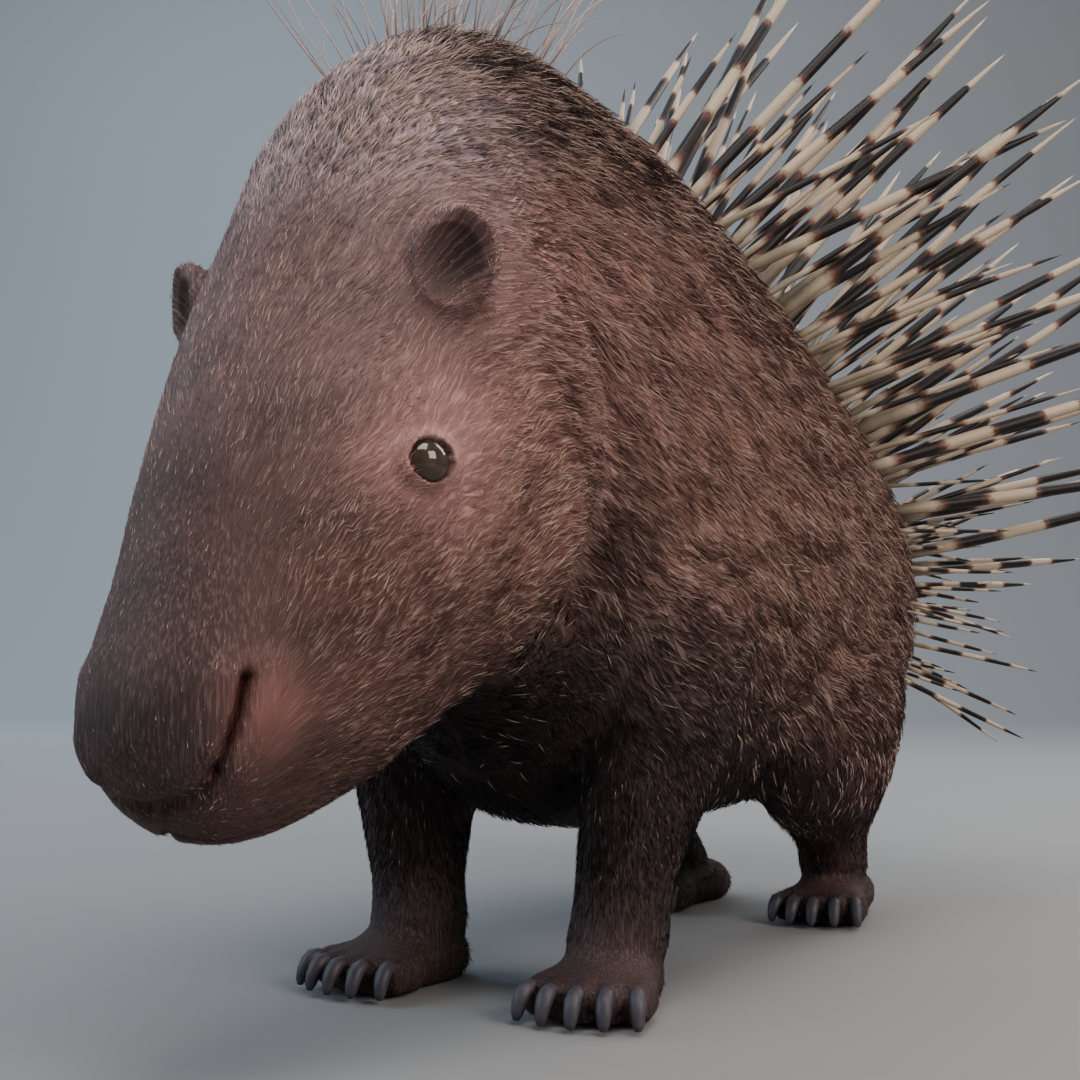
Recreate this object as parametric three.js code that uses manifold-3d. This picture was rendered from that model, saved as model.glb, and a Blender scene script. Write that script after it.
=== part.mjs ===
import * as THREE from 'three';
import { mergeVertices } from 'three/addons/utils/BufferGeometryUtils.js';
import Module from 'manifold-3d';

// A crested porcupine standing on its four feet, its head hung low and its quills raised.
// Millimetres, +Z up. The animal faces -Y and its own left side is +X.
// The origin lies on the floor, below the middle of its reach along the body.

const wasm = await Module();
wasm.setup();

const { degToRad } = THREE.MathUtils;

// The gap that neighbouring pieces keep.
const GAP = 0.3;

// How finely each kind of form is faceted.
const TRUNK_FACETS = { around: 32, rows: 44 };
const LEG_FACETS = { around: 12, rows: 13 };
const FOOT_FACETS = { around: 10, rows: 6 };
const TOE_FACETS = { around: 6, rows: 3 };
const TAIL_FACETS = { around: 10, rows: 6 };
const BALL_FACETS = { around: 12, rows: 7 };

// The trunk, from the rump over the nape to the nose: the [y, z] of its top and bottom line,
// its half width, how high up the widest place lies, and how square the section is.
const TRUNK = [
  { top: [396, 168], bottom: [396, 168], half: 0, belt: 0.5, square: 2 },
  { top: [391, 206], bottom: [391, 126], half: 40, belt: 0.5, square: 2.1 },
  { top: [370, 246], bottom: [372, 98], half: 70, belt: 0.48, square: 2.2 },
  { top: [336, 277], bottom: [338, 79], half: 90, belt: 0.46, square: 2.2 },
  { top: [288, 303], bottom: [290, 67], half: 100, belt: 0.45, square: 2.2 },
  { top: [234, 326], bottom: [238, 61], half: 103, belt: 0.45, square: 2.2 },
  { top: [180, 350], bottom: [186, 58], half: 101, belt: 0.46, square: 2.15 },
  { top: [128, 372], bottom: [138, 58], half: 97, belt: 0.47, square: 2.1 },
  { top: [78, 386], bottom: [94, 60], half: 92, belt: 0.48, square: 2.1 },
  { top: [32, 391], bottom: [58, 66], half: 86, belt: 0.48, square: 2.1 },
  { top: [-9, 388], bottom: [30, 82], half: 79, belt: 0.47, square: 2.1 },
  { top: [-44, 367], bottom: [8, 101], half: 74, belt: 0.46, square: 2.1 },
  { top: [-72, 339], bottom: [-10, 112], half: 71, belt: 0.44, square: 2.1 },
  { top: [-92, 303], bottom: [-27, 111], half: 68, belt: 0.43, square: 2.05 },
  { top: [-110, 270], bottom: [-46, 102], half: 63, belt: 0.43, square: 2 },
  { top: [-124, 238], bottom: [-68, 89], half: 56, belt: 0.44, square: 2 },
  { top: [-135, 206], bottom: [-91, 78], half: 49, belt: 0.45, square: 2.05 },
  { top: [-144, 176], bottom: [-112, 73], half: 41, belt: 0.47, square: 2.1 },
  { top: [-152, 152], bottom: [-131, 74], half: 36, belt: 0.5, square: 2.2 },
  { top: [-159, 131], bottom: [-147, 84], half: 26, belt: 0.5, square: 2.2 },
  { top: [-162, 107], bottom: [-162, 107], half: 0, belt: 0.5, square: 2 },
];

// Thin cuts part the trunk: a point [y, z] on each and how far its top leans forward, in degrees.
const TRUNK_CUTS = [
  { at: [132, 220], lean: 0 },
  { at: [54, 230], lean: -6 },
  { at: [-8, 230], lean: 8 },
];
const TRUNK_NAMES = ['torso', 'chest', 'neck', 'head'];

// Left legs, from inside the body down to inside the foot: centre, half width and half depth.
const FRONT_LEG = [
  { at: [50, 82, 216], wide: 0, deep: 0 },
  { at: [54, 82, 206], wide: 22, deep: 34 },
  { at: [60, 82, 174], wide: 30, deep: 48 },
  { at: [63, 79, 136], wide: 31, deep: 47 },
  { at: [60, 71, 99], wide: 28, deep: 41 },
  { at: [54, 62, 68], wide: 24, deep: 32 },
  { at: [50, 57, 43], wide: 21, deep: 25 },
  { at: [48, 55, 22], wide: 22, deep: 25 },
  { at: [48, 54, 9], wide: 15, deep: 18 },
  { at: [48, 54, 5], wide: 0, deep: 0 },
];
const HIND_LEG = [
  { at: [58, 252, 196], wide: 0, deep: 0 },
  { at: [60, 252, 184], wide: 24, deep: 42 },
  { at: [67, 248, 152], wide: 34, deep: 68 },
  { at: [69, 244, 118], wide: 36, deep: 76 },
  { at: [66, 244, 86], wide: 33, deep: 72 },
  { at: [60, 262, 62], wide: 27, deep: 50 },
  { at: [52, 294, 45], wide: 21, deep: 30 },
  { at: [48, 310, 26], wide: 20, deep: 26 },
  { at: [47, 312, 11], wide: 14, deep: 18 },
  { at: [47, 312, 5], wide: 0, deep: 0 },
];

// Feet: where the ankle stands, how the sole runs, and how far it turns outward in degrees.
const FRONT_FOOT = { ankle: [48, 54], back: 17, front: 24, half: 22, high: 27, turn: 9 };
const HIND_FOOT = { ankle: [47, 312], back: 38, front: 25, half: 21, high: 25, turn: 6 };
const TOES = 5;
// The outer toes are shorter by this share, and every claw slopes from its toe down to the floor.
const TOE = { radius: 6.4, length: 18, high: 8.2, fan: 0.14, shorter: 0.34 };
const CLAW = { radius: 3.7, tip: 1.2, length: 17, droop: 36, sides: 5, height: 7.6 };
const ANKLE_CUT = 38;

// Eyes, lids, ears and nostrils of the left side, each at its spot on the head's surface:
// how far along the trunk, and how far round it from the side towards the top.
const EYE = { along: 0.713, round: 0.046, radius: 9, stands: 3.2, facets: [12, 8] };
const LID = { ring: 8.2, thick: 2.2, forward: 4.4 };
const EAR = { along: 0.643, round: 0.1, high: 22, wide: 17, thick: 9, stands: 4, turn: 46, cup: 0.8 };
const NOSTRIL = { along: 0.914, round: 0.018, size: [3, 6, 12], turn: 24, yaw: -30 };

// The mouth: [y, z] of its line at the front and at its corner.
const MOUTH = { front: [-150, 84], corner: [-96, 90], thick: 1.6, depth: 7 };
const TAIL = [
  { at: [0, 360, 176], wide: 0, deep: 0 },
  { at: [0, 370, 174], wide: 24, deep: 21 },
  { at: [0, 402, 162], wide: 25, deep: 21 },
  { at: [0, 434, 146], wide: 18, deep: 15 },
  { at: [0, 456, 134], wide: 9, deep: 8 },
  { at: [0, 462, 131], wide: 0, deep: 0 },
];

// Quills: rows across the back from the shoulders to the rump, longest at the middle of the back.
// They start and end at these shares of the trunk, and stand above the lowest height, which drops
// towards the rump. Each strays from its row's way by a little.
const QUILL = { rows: 17, gap: 19, thick: 2.8, sink: 6, sides: 4, longest: 285, shortest: 95 };
const QUILL_FIELD = { rump: 0.035, shoulder: 0.335, reach: 0.125, spread: 0.12, lowest: 190, drop: 78 };
const QUILL_LEAN = { shoulder: 0.36, rump: 0.98, rise: 0.1, stray: 0.07 };
const CREST = { count: 50, thick: 1.3, sink: 5, longest: 165, shortest: 80 };
const CREST_FIELD = { from: 0.446, to: 0.524, half: 0.085 };
// No quill of the rump stands in the way of the tail.
const TAIL_CLEAR = { half: 48, top: 226 };
const TAIL_QUILL = { rows: 3, around: 7, length: 52, thick: 1.7 };

const LOOKS = {
  skin: { color: 0x765a54, roughness: 0.85, metalness: 0 },
  coat: { color: 0x3a2b29, roughness: 0.9, metalness: 0 },
  quills: { color: 0x9a8c7c, roughness: 0.5, metalness: 0 },
  eye: { color: 0x120d0b, roughness: 0.06, metalness: 0 },
};

// Seeded draws, so that every build is alike.
let seed = 20;
function draw(low = 0, high = 1) {
  seed = (seed * 1664525 + 1013904223) >>> 0;
  return low + (high - low) * (seed / 4294967296);
}

// A closed geometry as a solid that can be joined and cut, whichever way round it was made.
function solid(geometry) {
  const bare = geometry.clone();
  bare.deleteAttribute('normal');
  bare.deleteAttribute('uv');
  const merged = mergeVertices(bare, 1e-3);
  const index = merged.index.array;
  const kept = [];
  for (let i = 0; i < index.length; i += 3) {
    const [a, b, c] = [index[i], index[i + 1], index[i + 2]];
    if (a !== b && b !== c && c !== a) kept.push([a, b, c]);
  }
  const built = (triangles) => new wasm.Manifold(new wasm.Mesh({
    numProp: 3,
    vertProperties: new Float32Array(merged.attributes.position.array),
    triVerts: new Uint32Array(triangles.flat()),
  }));
  const shape = built(kept);
  return shape.volume() > 0 ? shape : built(kept.map(([a, b, c]) => [b, a, c]));
}

function largest(shape) {
  return shape.decompose().sort((a, b) => b.volume() - a.volume())[0];
}

// A solid as a named mesh.
function meshOf(shape, name, look) {
  const { numProp, numVert, vertProperties, triVerts } = shape.getMesh();
  const points = new Float32Array(numVert * 3);
  for (let i = 0; i < numVert; i++) {
    for (let k = 0; k < 3; k++) points[i * 3 + k] = vertProperties[i * numProp + k];
  }
  const geometry = new THREE.BufferGeometry();
  geometry.setAttribute('position', new THREE.BufferAttribute(points, 3));
  geometry.setIndex(new THREE.BufferAttribute(new Uint32Array(triVerts), 1));
  geometry.computeVertexNormals();
  const mesh = new THREE.Mesh(geometry, new THREE.MeshStandardMaterial(look));
  mesh.name = name;
  return mesh;
}

// One point of a section, step 0 to 1 round it: 0 at its +X side and a quarter at its top.
function onSection(section, step, grow = 0) {
  const angle = step * Math.PI * 2;
  const rounded = (v) => Math.sign(v) * Math.abs(v) ** (2 / section.square);
  const sideways = rounded(Math.cos(angle));
  const upward = rounded(Math.sin(angle));
  const high = upward > 0 ? section.up : section.down;
  return section.centre.clone()
    .addScaledVector(section.side, sideways * (section.half + (section.half ? grow : 0)))
    .addScaledVector(section.lift, upward * (high + (high ? grow : 0)));
}

// A closed body through the sections given for 0 to 1, on the facets of a sphere.
function loft(sectionAt, { around, rows }, grow = 0) {
  const geometry = new THREE.SphereGeometry(1, around, rows);
  for (let row = 0; row <= rows; row++) {
    const section = sectionAt(row / rows);
    for (let step = 0; step <= around; step++) {
      const point = onSection(section, (step % around) / around, grow);
      geometry.attributes.position.setXYZ(row * (around + 1) + step, ...point.toArray());
    }
  }
  return solid(geometry);
}

function splineOf(list, pick) {
  return new THREE.CatmullRomCurve3(
    list.map((entry) => new THREE.Vector3(...pick(entry))), false, 'catmullrom', 0.5);
}

// Sections of the trunk, between its top and bottom line.
function trunkSections() {
  const top = splineOf(TRUNK, (s) => [0, ...s.top]);
  const bottom = splineOf(TRUNK, (s) => [0, ...s.bottom]);
  const form = splineOf(TRUNK, (s) => [s.half, s.belt, s.square]);
  return (t) => {
    const a = top.getPoint(t);
    const b = bottom.getPoint(t);
    const [half, belt, square] = form.getPoint(t).toArray();
    const high = a.distanceTo(b);
    return {
      centre: b.clone().lerp(a, belt),
      side: new THREE.Vector3(1, 0, 0),
      lift: high ? a.clone().sub(b).normalize() : new THREE.Vector3(0, 0, 1),
      half: Math.max(0, half),
      up: high * (1 - belt),
      down: high * belt,
      square,
    };
  };
}

// Sections square to a limb's line, or level ones for a leg: wide across and deep along the body.
function limbSections(stations, level = false) {
  const line = splineOf(stations, (s) => s.at);
  const form = splineOf(stations, (s) => [s.wide, s.deep, 0]);
  return (t) => {
    const along = level ? new THREE.Vector3(0, 0, -1) : line.getTangent(t);
    const side = new THREE.Vector3(1, 0, 0);
    side.addScaledVector(along, -side.dot(along)).normalize();
    const [wide, deep] = form.getPoint(t).toArray();
    return {
      centre: line.getPoint(t),
      side,
      lift: side.clone().cross(along).normalize(),
      half: Math.max(0, wide),
      up: Math.max(0, deep),
      down: Math.max(0, deep),
      square: 2.15,
    };
  };
}

function block(low, high) {
  const size = high.map((v, k) => v - low[k]);
  const geometry = new THREE.BoxGeometry(...size);
  geometry.translate(...low.map((v, k) => v + size[k] / 2));
  return solid(geometry);
}

function mirrored(shape) {
  return shape.mirror([1, 0, 0]);
}

// A cone from root to tip that swells to its middle and bends by the way given.
function spine(root, way, length, thick, { sides, bend = null, joints = 2, swell = 0.8 }) {
  const cone = new THREE.ConeGeometry(thick, length, sides, joints);
  cone.translate(0, length / 2, 0);
  const spot = cone.attributes.position;
  const turn = new THREE.Quaternion().setFromUnitVectors(new THREE.Vector3(0, 1, 0), way);
  const point = new THREE.Vector3();
  for (let i = 0; i < spot.count; i++) {
    point.fromBufferAttribute(spot, i);
    const along = point.y / length;
    if (along > 0.01 && along < 0.99) {
      const wide = swell / (1 - along);
      const fill = 1 + (wide * (1 - along) ** 0.35 - 1) * Math.min(1, along * 4);
      point.x *= fill;
      point.z *= fill;
    }
    point.applyQuaternion(turn).add(root);
    if (bend) point.addScaledVector(bend, along * along);
    spot.setXYZ(i, ...point.toArray());
  }
  return solid(cone);
}

const trunkAt = trunkSections();
const trunk = loft(trunkAt, TRUNK_FACETS);
const trunkGrown = loft(trunkAt, TRUNK_FACETS, GAP);

// A place on the trunk: the point and the way straight out of its surface.
function onTrunk(t, step) {
  const point = onSection(trunkAt(t), step);
  const along = onSection(trunkAt(t + 0.004), step).sub(onSection(trunkAt(t - 0.004), step));
  const round = onSection(trunkAt(t), step + 0.004).sub(onSection(trunkAt(t), step - 0.004));
  const out = along.cross(round).normalize();
  const centre = trunkAt(t).centre;
  if (out.dot(point.clone().sub(centre)) < 0) out.negate();
  return { point, out };
}

// The quills stand in rows, and each row spreads down the flanks further towards the rump.
function quills() {
  const made = [];
  const field = QUILL_FIELD;
  for (let row = 0; row < QUILL.rows; row++) {
    const front = row / (QUILL.rows - 1);
    const rear = 1 - front;
    const t = field.rump + (field.shoulder - field.rump) * front;
    const reach = field.reach + field.spread * Math.min(1, rear * 1.25);
    const section = trunkAt(t);
    const chord = onSection(section, 0.25 - reach).distanceTo(onSection(section, 0.25));
    const count = Math.max(2, Math.round(chord * 2 * 1.12 / QUILL.gap));
    const lean = QUILL_LEAN.shoulder + (QUILL_LEAN.rump - QUILL_LEAN.shoulder) * rear;
    // The row's longest quills, over the spine: short at the shoulders, long behind the middle.
    const middle = Math.sin(Math.PI * Math.min(1, 0.3 + 0.62 * rear)) ** 0.8;
    for (let i = 0; i < count; i++) {
      const across = ((i + (row % 2 ? 0.75 : 0.25)) / count) * 2 - 1;
      const step = 0.25 + (across + draw(-0.03, 0.03)) * reach;
      const { point, out } = onTrunk(t + draw(-0.002, 0.002), step);
      if (point.z < field.lowest - field.drop * rear ** 3) continue;
      if (Math.abs(point.x) < TAIL_CLEAR.half && point.z < TAIL_CLEAR.top) continue;
      const stray = () => draw(-QUILL_LEAN.stray, QUILL_LEAN.stray);
      const way = out.clone()
        .addScaledVector(new THREE.Vector3(0, 1, QUILL_LEAN.rise), lean)
        .add(new THREE.Vector3(stray(), stray(), stray()))
        .normalize();
      const flank = 1 - 0.34 * Math.abs(across) ** 1.6;
      const full = QUILL.shortest + (QUILL.longest - QUILL.shortest) * middle * flank;
      const grown = full * ((row + i) % 3 === 0 ? draw(0.5, 0.62) : draw(0.86, 1));
      const root = point.addScaledVector(way, -QUILL.sink);
      made.push(spine(root, way, grown + QUILL.sink, QUILL.thick, { sides: QUILL.sides }));
    }
  }
  return made;
}

// The crest: long bristles that rise from the nape and bend back, thinly flattened.
function crest() {
  const made = [];
  for (let i = 0; i < CREST.count; i++) {
    const even = (i + 0.5) / CREST.count;
    const t = CREST_FIELD.from + (CREST_FIELD.to - CREST_FIELD.from) * ((i * 0.618) % 1);
    const step = 0.25 + (even * 2 - 1) * CREST_FIELD.half + draw(-0.003, 0.003);
    const { point, out } = onTrunk(t, step);
    const length = CREST.shortest + (CREST.longest - CREST.shortest) * draw(0.2, 1);
    const way = out.clone().add(new THREE.Vector3(0, 0.04, 0.35)).normalize();
    const bend = new THREE.Vector3(out.x * 8, length * 0.24, -length * 0.12);
    const root = point.addScaledVector(way, -CREST.sink);
    made.push(spine(root, way, length, CREST.thick, { sides: 3, joints: 3, bend }));
  }
  return made;
}

// The foot with its toes and claws, round the ankle and turned outward, as one solid.
function foot(plan) {
  const { back, front, half, high } = plan;
  const sole = [
    { at: [0, back + 9, 9], wide: 0, deep: 0 },
    { at: [0, back + 6, 9], wide: half * 0.55, deep: high * 0.4 },
    { at: [0, back - 6, 9], wide: half * 0.82, deep: high * 0.58 },
    { at: [0, (back - front) / 2, 9], wide: half * 0.95, deep: high * 0.56 },
    { at: [0, -front, 7], wide: half, deep: high * 0.48 },
    { at: [0, -front - 10, 5], wide: half * 0.86, deep: high * 0.34 },
    { at: [0, -front - 13, 5], wide: 0, deep: 0 },
  ];
  const pieces = [loft(limbSections(sole), FOOT_FACETS)];
  for (let i = 0; i < TOES; i++) {
    const across = (i - (TOES - 1) / 2) / ((TOES - 1) / 2);
    const long = TOE.length * (1 - TOE.shorter * across * across);
    const x = across * (half - 3);
    const tipX = x + across * long * TOE.fan;
    const tipY = -front - 5 - long;
    const toe = [
      { at: [x, -front + 5, 8], wide: 0, deep: 0 },
      { at: [x, -front + 2, 8], wide: TOE.radius * 0.8, deep: TOE.high },
      { at: [(x + tipX) / 2, -front - long / 2, 8], wide: TOE.radius, deep: TOE.high },
      { at: [tipX, tipY + 2, 7], wide: TOE.radius * 0.9, deep: TOE.high * 0.85 },
      { at: [tipX, tipY, 7], wide: 0, deep: 0 },
    ];
    pieces.push(loft(limbSections(toe), TOE_FACETS));
    const claw = new THREE.CylinderGeometry(CLAW.tip, CLAW.radius, CLAW.length, CLAW.sides, 1);
    claw.rotateX(degToRad(90 + CLAW.droop));
    claw.translate(tipX, tipY - 3, CLAW.height);
    pieces.push(solid(claw));
  }
  return wasm.Manifold.union(pieces).rotate([0, 0, plan.turn]).translate([...plan.ankle, 0]);
}

// Where the left eyeball sits, sunk so that only a little of it stands out of the head.
const eyeSpot = onTrunk(EYE.along, EYE.round);
const eyeAt = eyeSpot.point.clone().addScaledVector(eyeSpot.out, EYE.stands - EYE.radius);

function ball(radius, [around, rows]) {
  const geometry = new THREE.SphereGeometry(radius, around, rows);
  geometry.translate(...eyeAt.toArray());
  return solid(geometry);
}

// Head forms: lids round each eye, nostril slits and the line of the mouth.
function headForms(head) {
  const toward = new THREE.Quaternion().setFromUnitVectors(new THREE.Vector3(0, 0, 1), eyeSpot.out);
  const ring = new THREE.TorusGeometry(LID.ring, LID.thick, 5, 14);
  ring.applyQuaternion(toward);
  ring.translate(...eyeAt.clone().addScaledVector(eyeSpot.out, LID.forward).toArray());
  const lids = solid(ring);
  const hollow = ball(EYE.radius + GAP, EYE.facets);
  const slit = new THREE.SphereGeometry(1, 8, 6);
  slit.scale(...NOSTRIL.size);
  slit.rotateX(degToRad(-NOSTRIL.turn));
  slit.rotateZ(degToRad(NOSTRIL.yaw));
  slit.translate(...onTrunk(NOSTRIL.along, NOSTRIL.round).point.toArray());
  const nostril = solid(slit);
  const shape = head
    .add(lids).add(mirrored(lids))
    .subtract(hollow).subtract(mirrored(hollow))
    .subtract(nostril).subtract(mirrored(nostril));
  const [frontY, frontZ] = MOUTH.front;
  const [cornerY, cornerZ] = MOUTH.corner;
  const line = new THREE.BoxGeometry(160, Math.hypot(cornerY - frontY, cornerZ - frontZ) + 40, MOUTH.thick);
  line.translate(0, -20 + Math.hypot(cornerY - frontY, cornerZ - frontZ) / 2, 0);
  line.rotateX(Math.atan2(cornerZ - frontZ, cornerY - frontY));
  line.translate(0, frontY, frontZ);
  const core = loft(trunkAt, TRUNK_FACETS, -MOUTH.depth);
  return shape.subtract(solid(line).subtract(core));
}

// A cupped ear: an egg with its outer face hollowed, rooted in the head.
function ear() {
  const egg = (scale) => {
    const geometry = new THREE.SphereGeometry(1, BALL_FACETS.around, BALL_FACETS.rows);
    geometry.scale(EAR.thick * scale, EAR.wide * scale, EAR.high * scale);
    return geometry;
  };
  const cup = egg(EAR.cup);
  cup.translate(EAR.thick * 0.75, -EAR.wide * 0.12, 0);
  const { point, out } = onTrunk(EAR.along, EAR.round);
  return solid(egg(1)).subtract(solid(cup))
    .rotate([0, 0, -EAR.turn])
    .translate(point.addScaledVector(out, EAR.stands).toArray());
}

const model = new THREE.Group();
const body = new THREE.Group();
model.add(body);

function keep(shape, name, look) {
  body.add(meshOf(largest(shape), name, look));
}

// The trunk parted by its cuts, from the rump forward.
function partedTrunk() {
  let shape = trunk;
  for (const cut of TRUNK_CUTS) {
    const slab = new THREE.BoxGeometry(400, GAP, 700);
    slab.rotateX(degToRad(cut.lean));
    slab.translate(0, ...cut.at);
    shape = shape.subtract(solid(slab));
  }
  const middleY = (piece) => piece.boundingBox().min[1] + piece.boundingBox().max[1];
  const pieces = shape.decompose().sort((a, b) => middleY(b) - middleY(a));
  return Object.fromEntries(TRUNK_NAMES.map((name, i) => [name, pieces[i]]));
}

const parts = partedTrunk();
keep(wasm.Manifold.union([parts.torso, ...quills()]), 'torso', LOOKS.quills);
keep(parts.chest, 'chest', LOOKS.coat);
keep(wasm.Manifold.union([parts.neck, ...crest()]), 'neck', LOOKS.coat);
keep(headForms(parts.head), 'head', LOOKS.skin);

// Tail, with its own short quills all round it.
function tailSolid() {
  const at = limbSections(TAIL);
  const made = [loft(at, TAIL_FACETS)];
  for (let row = 0; row < TAIL_QUILL.rows; row++) {
    const t = 0.42 + 0.42 * (row / (TAIL_QUILL.rows - 1));
    for (let i = 0; i < TAIL_QUILL.around; i++) {
      const section = at(t);
      const step = (i + (row % 2) * 0.5) / TAIL_QUILL.around;
      const point = onSection(section, step);
      const out = point.clone().sub(section.centre).normalize();
      const way = out.multiplyScalar(0.42).add(new THREE.Vector3(0, 1, -0.12)).normalize();
      const root = point.addScaledVector(way, -5);
      const long = TAIL_QUILL.length * draw(0.75, 1);
      made.push(spine(root, way, long, TAIL_QUILL.thick, { sides: 4, joints: 2 }));
    }
  }
  return wasm.Manifold.union(made).subtract(trunkGrown);
}
keep(tailSolid(), 'tail', LOOKS.quills);

const floor = block([-500, -500, -100], [500, 900, 0]);
const ankleCut = block([-200, -200, ANKLE_CUT], [200, 600, ANKLE_CUT + GAP]);

for (const [word, turned] of [['left', (s) => s], ['right', mirrored]]) {
  keep(turned(ball(EYE.radius, EYE.facets)), `eye_${word}`, LOOKS.eye);
  keep(turned(ear()).subtract(trunkGrown), `ear_${word}`, LOOKS.skin);
  for (const [name, stations, plan] of [['front', FRONT_LEG, FRONT_FOOT], ['hind', HIND_LEG, HIND_FOOT]]) {
    const whole = turned(loft(limbSections(stations, true), LEG_FACETS).add(foot(plan)))
      .subtract(floor)
      .subtract(trunkGrown)
      .subtract(ankleCut);
    const height = (piece) => piece.boundingBox().max[2];
    const halves = whole.decompose().sort((a, b) => b.volume() - a.volume()).slice(0, 2);
    const [upper, lower] = halves.sort((a, b) => height(b) - height(a));
    keep(upper, `${name}_leg_${word}`, LOOKS.coat);
    keep(lower, `${name}_foot_${word}`, LOOKS.coat);
  }
}

// The origin goes to the middle of the animal's reach, below it on the floor.
const reach = new THREE.Box3().setFromObject(body);
body.position.y = -Math.round((reach.min.y + reach.max.y) / 2);

export default model;
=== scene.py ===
# %% [markdown]
# # A crested porcupine
# The animal stands on four feet with its head hung low. Its form comes from a few sections through
# the body, which also place the coat, so that every hair knows where on the animal it grows.
# We start from the fixed frame and keep its box, whose sides limit how far the quills reach.

# %% Load the frame
import math

import bmesh
import bpy
import numpy as np
from mathutils import Matrix, Vector


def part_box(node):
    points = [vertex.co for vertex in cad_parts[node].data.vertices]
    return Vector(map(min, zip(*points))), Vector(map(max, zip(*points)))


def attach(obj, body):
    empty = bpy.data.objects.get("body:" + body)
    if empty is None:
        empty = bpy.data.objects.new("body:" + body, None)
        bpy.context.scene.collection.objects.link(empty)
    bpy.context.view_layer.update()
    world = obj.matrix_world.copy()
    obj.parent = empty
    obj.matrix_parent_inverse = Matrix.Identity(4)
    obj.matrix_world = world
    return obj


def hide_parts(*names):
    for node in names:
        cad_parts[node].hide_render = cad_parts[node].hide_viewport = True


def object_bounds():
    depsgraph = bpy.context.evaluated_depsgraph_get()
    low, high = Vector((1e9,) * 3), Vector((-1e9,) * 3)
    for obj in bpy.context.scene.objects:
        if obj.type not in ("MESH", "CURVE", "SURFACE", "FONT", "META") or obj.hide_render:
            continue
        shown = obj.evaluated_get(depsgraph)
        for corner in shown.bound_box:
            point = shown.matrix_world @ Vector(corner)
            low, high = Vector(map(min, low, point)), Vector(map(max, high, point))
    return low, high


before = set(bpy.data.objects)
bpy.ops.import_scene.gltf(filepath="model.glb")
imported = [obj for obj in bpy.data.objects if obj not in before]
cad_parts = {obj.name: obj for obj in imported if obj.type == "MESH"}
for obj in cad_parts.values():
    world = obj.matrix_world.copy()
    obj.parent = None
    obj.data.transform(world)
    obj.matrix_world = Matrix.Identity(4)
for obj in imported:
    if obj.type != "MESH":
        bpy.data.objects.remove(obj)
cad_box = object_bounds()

MM = 0.001
FULL_TURN = 2 * math.pi
print("frame box", [[round(v, 3) for v in corner] for corner in cad_box])

# %% [markdown]
# ## Sections of the body
# A porcupine's trunk is one smooth form from the rump over the nape to the nose. We describe it by
# the line of its back, the line of its belly and its half width, all in millimetres.

# %% Trunk, legs and feet
TRUNK = np.array([
    # top y, top z, bottom y, bottom z, half width, height of the widest place, squareness
    [396, 168, 396, 168, 0, 0.50, 2.00],
    [391, 206, 391, 126, 40, 0.50, 2.10],
    [370, 246, 372, 98, 70, 0.48, 2.20],
    [336, 277, 338, 79, 90, 0.46, 2.20],
    [288, 303, 290, 67, 100, 0.45, 2.20],
    [234, 326, 238, 61, 103, 0.45, 2.20],
    [180, 350, 186, 58, 101, 0.46, 2.15],
    [128, 372, 138, 58, 97, 0.47, 2.10],
    [78, 386, 94, 60, 92, 0.48, 2.10],
    [32, 391, 58, 66, 86, 0.48, 2.10],
    [-9, 388, 30, 82, 79, 0.47, 2.10],
    [-44, 367, 8, 101, 74, 0.46, 2.10],
    [-72, 339, -10, 112, 71, 0.44, 2.10],
    [-92, 303, -27, 111, 68, 0.43, 2.05],
    [-110, 270, -46, 102, 63, 0.43, 2.00],
    [-124, 238, -68, 89, 56, 0.44, 2.00],
    [-135, 206, -91, 78, 49, 0.45, 2.05],
    [-144, 176, -112, 73, 41, 0.47, 2.10],
    [-152, 152, -131, 74, 36, 0.50, 2.20],
    [-159, 131, -147, 84, 26, 0.50, 2.20],
    [-162, 107, -162, 107, 0, 0.50, 2.00],
])
NOSE_TIP_Y = TRUNK[-1, 0]
# Limbs: centre x, y, z, half width, half depth
FRONT_LEG = np.array([
    [54, 82, 206, 22, 34], [60, 82, 174, 30, 48], [63, 79, 136, 31, 47], [60, 71, 99, 28, 41],
    [54, 62, 68, 24, 32], [50, 57, 43, 21, 25], [48, 55, 22, 22, 25], [48, 54, 9, 15, 18],
])
HIND_LEG = np.array([
    [60, 252, 184, 24, 42], [67, 248, 152, 34, 68], [69, 244, 118, 36, 76], [66, 244, 86, 33, 72],
    [60, 262, 62, 27, 50], [52, 294, 45, 21, 30], [48, 310, 26, 20, 26], [47, 312, 11, 14, 18],
])
TAIL = np.array([
    [0, 370, 174, 24, 21], [0, 402, 162, 25, 21], [0, 434, 146, 18, 15], [0, 456, 134, 9, 8],
])
FRONT_FOOT = dict(ankle=(48, 54), back=17, front=24, half=22, high=27, turn=9)
HIND_FOOT = dict(ankle=(47, 312), back=38, front=25, half=21, high=25, turn=6)
TOES = 5
TOE_RADIUS, TOE_LENGTH, TOE_HIGH, TOE_FAN, TOE_SHORTER = 5.6, 19, 9, 0.14, 0.34
SHIFT = np.array([0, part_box("head")[0][1] / MM - NOSE_TIP_Y, 0])
print("trunk sections", len(TRUNK), "shift", SHIFT.round(2))


# %% A curve through the sections
def unit(vectors, guard=0.0):
    """Rows of vectors at length one; the guard keeps an empty row from a division by nothing."""
    return vectors / (np.linalg.norm(vectors, axis=1)[:, None] + guard)


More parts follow.
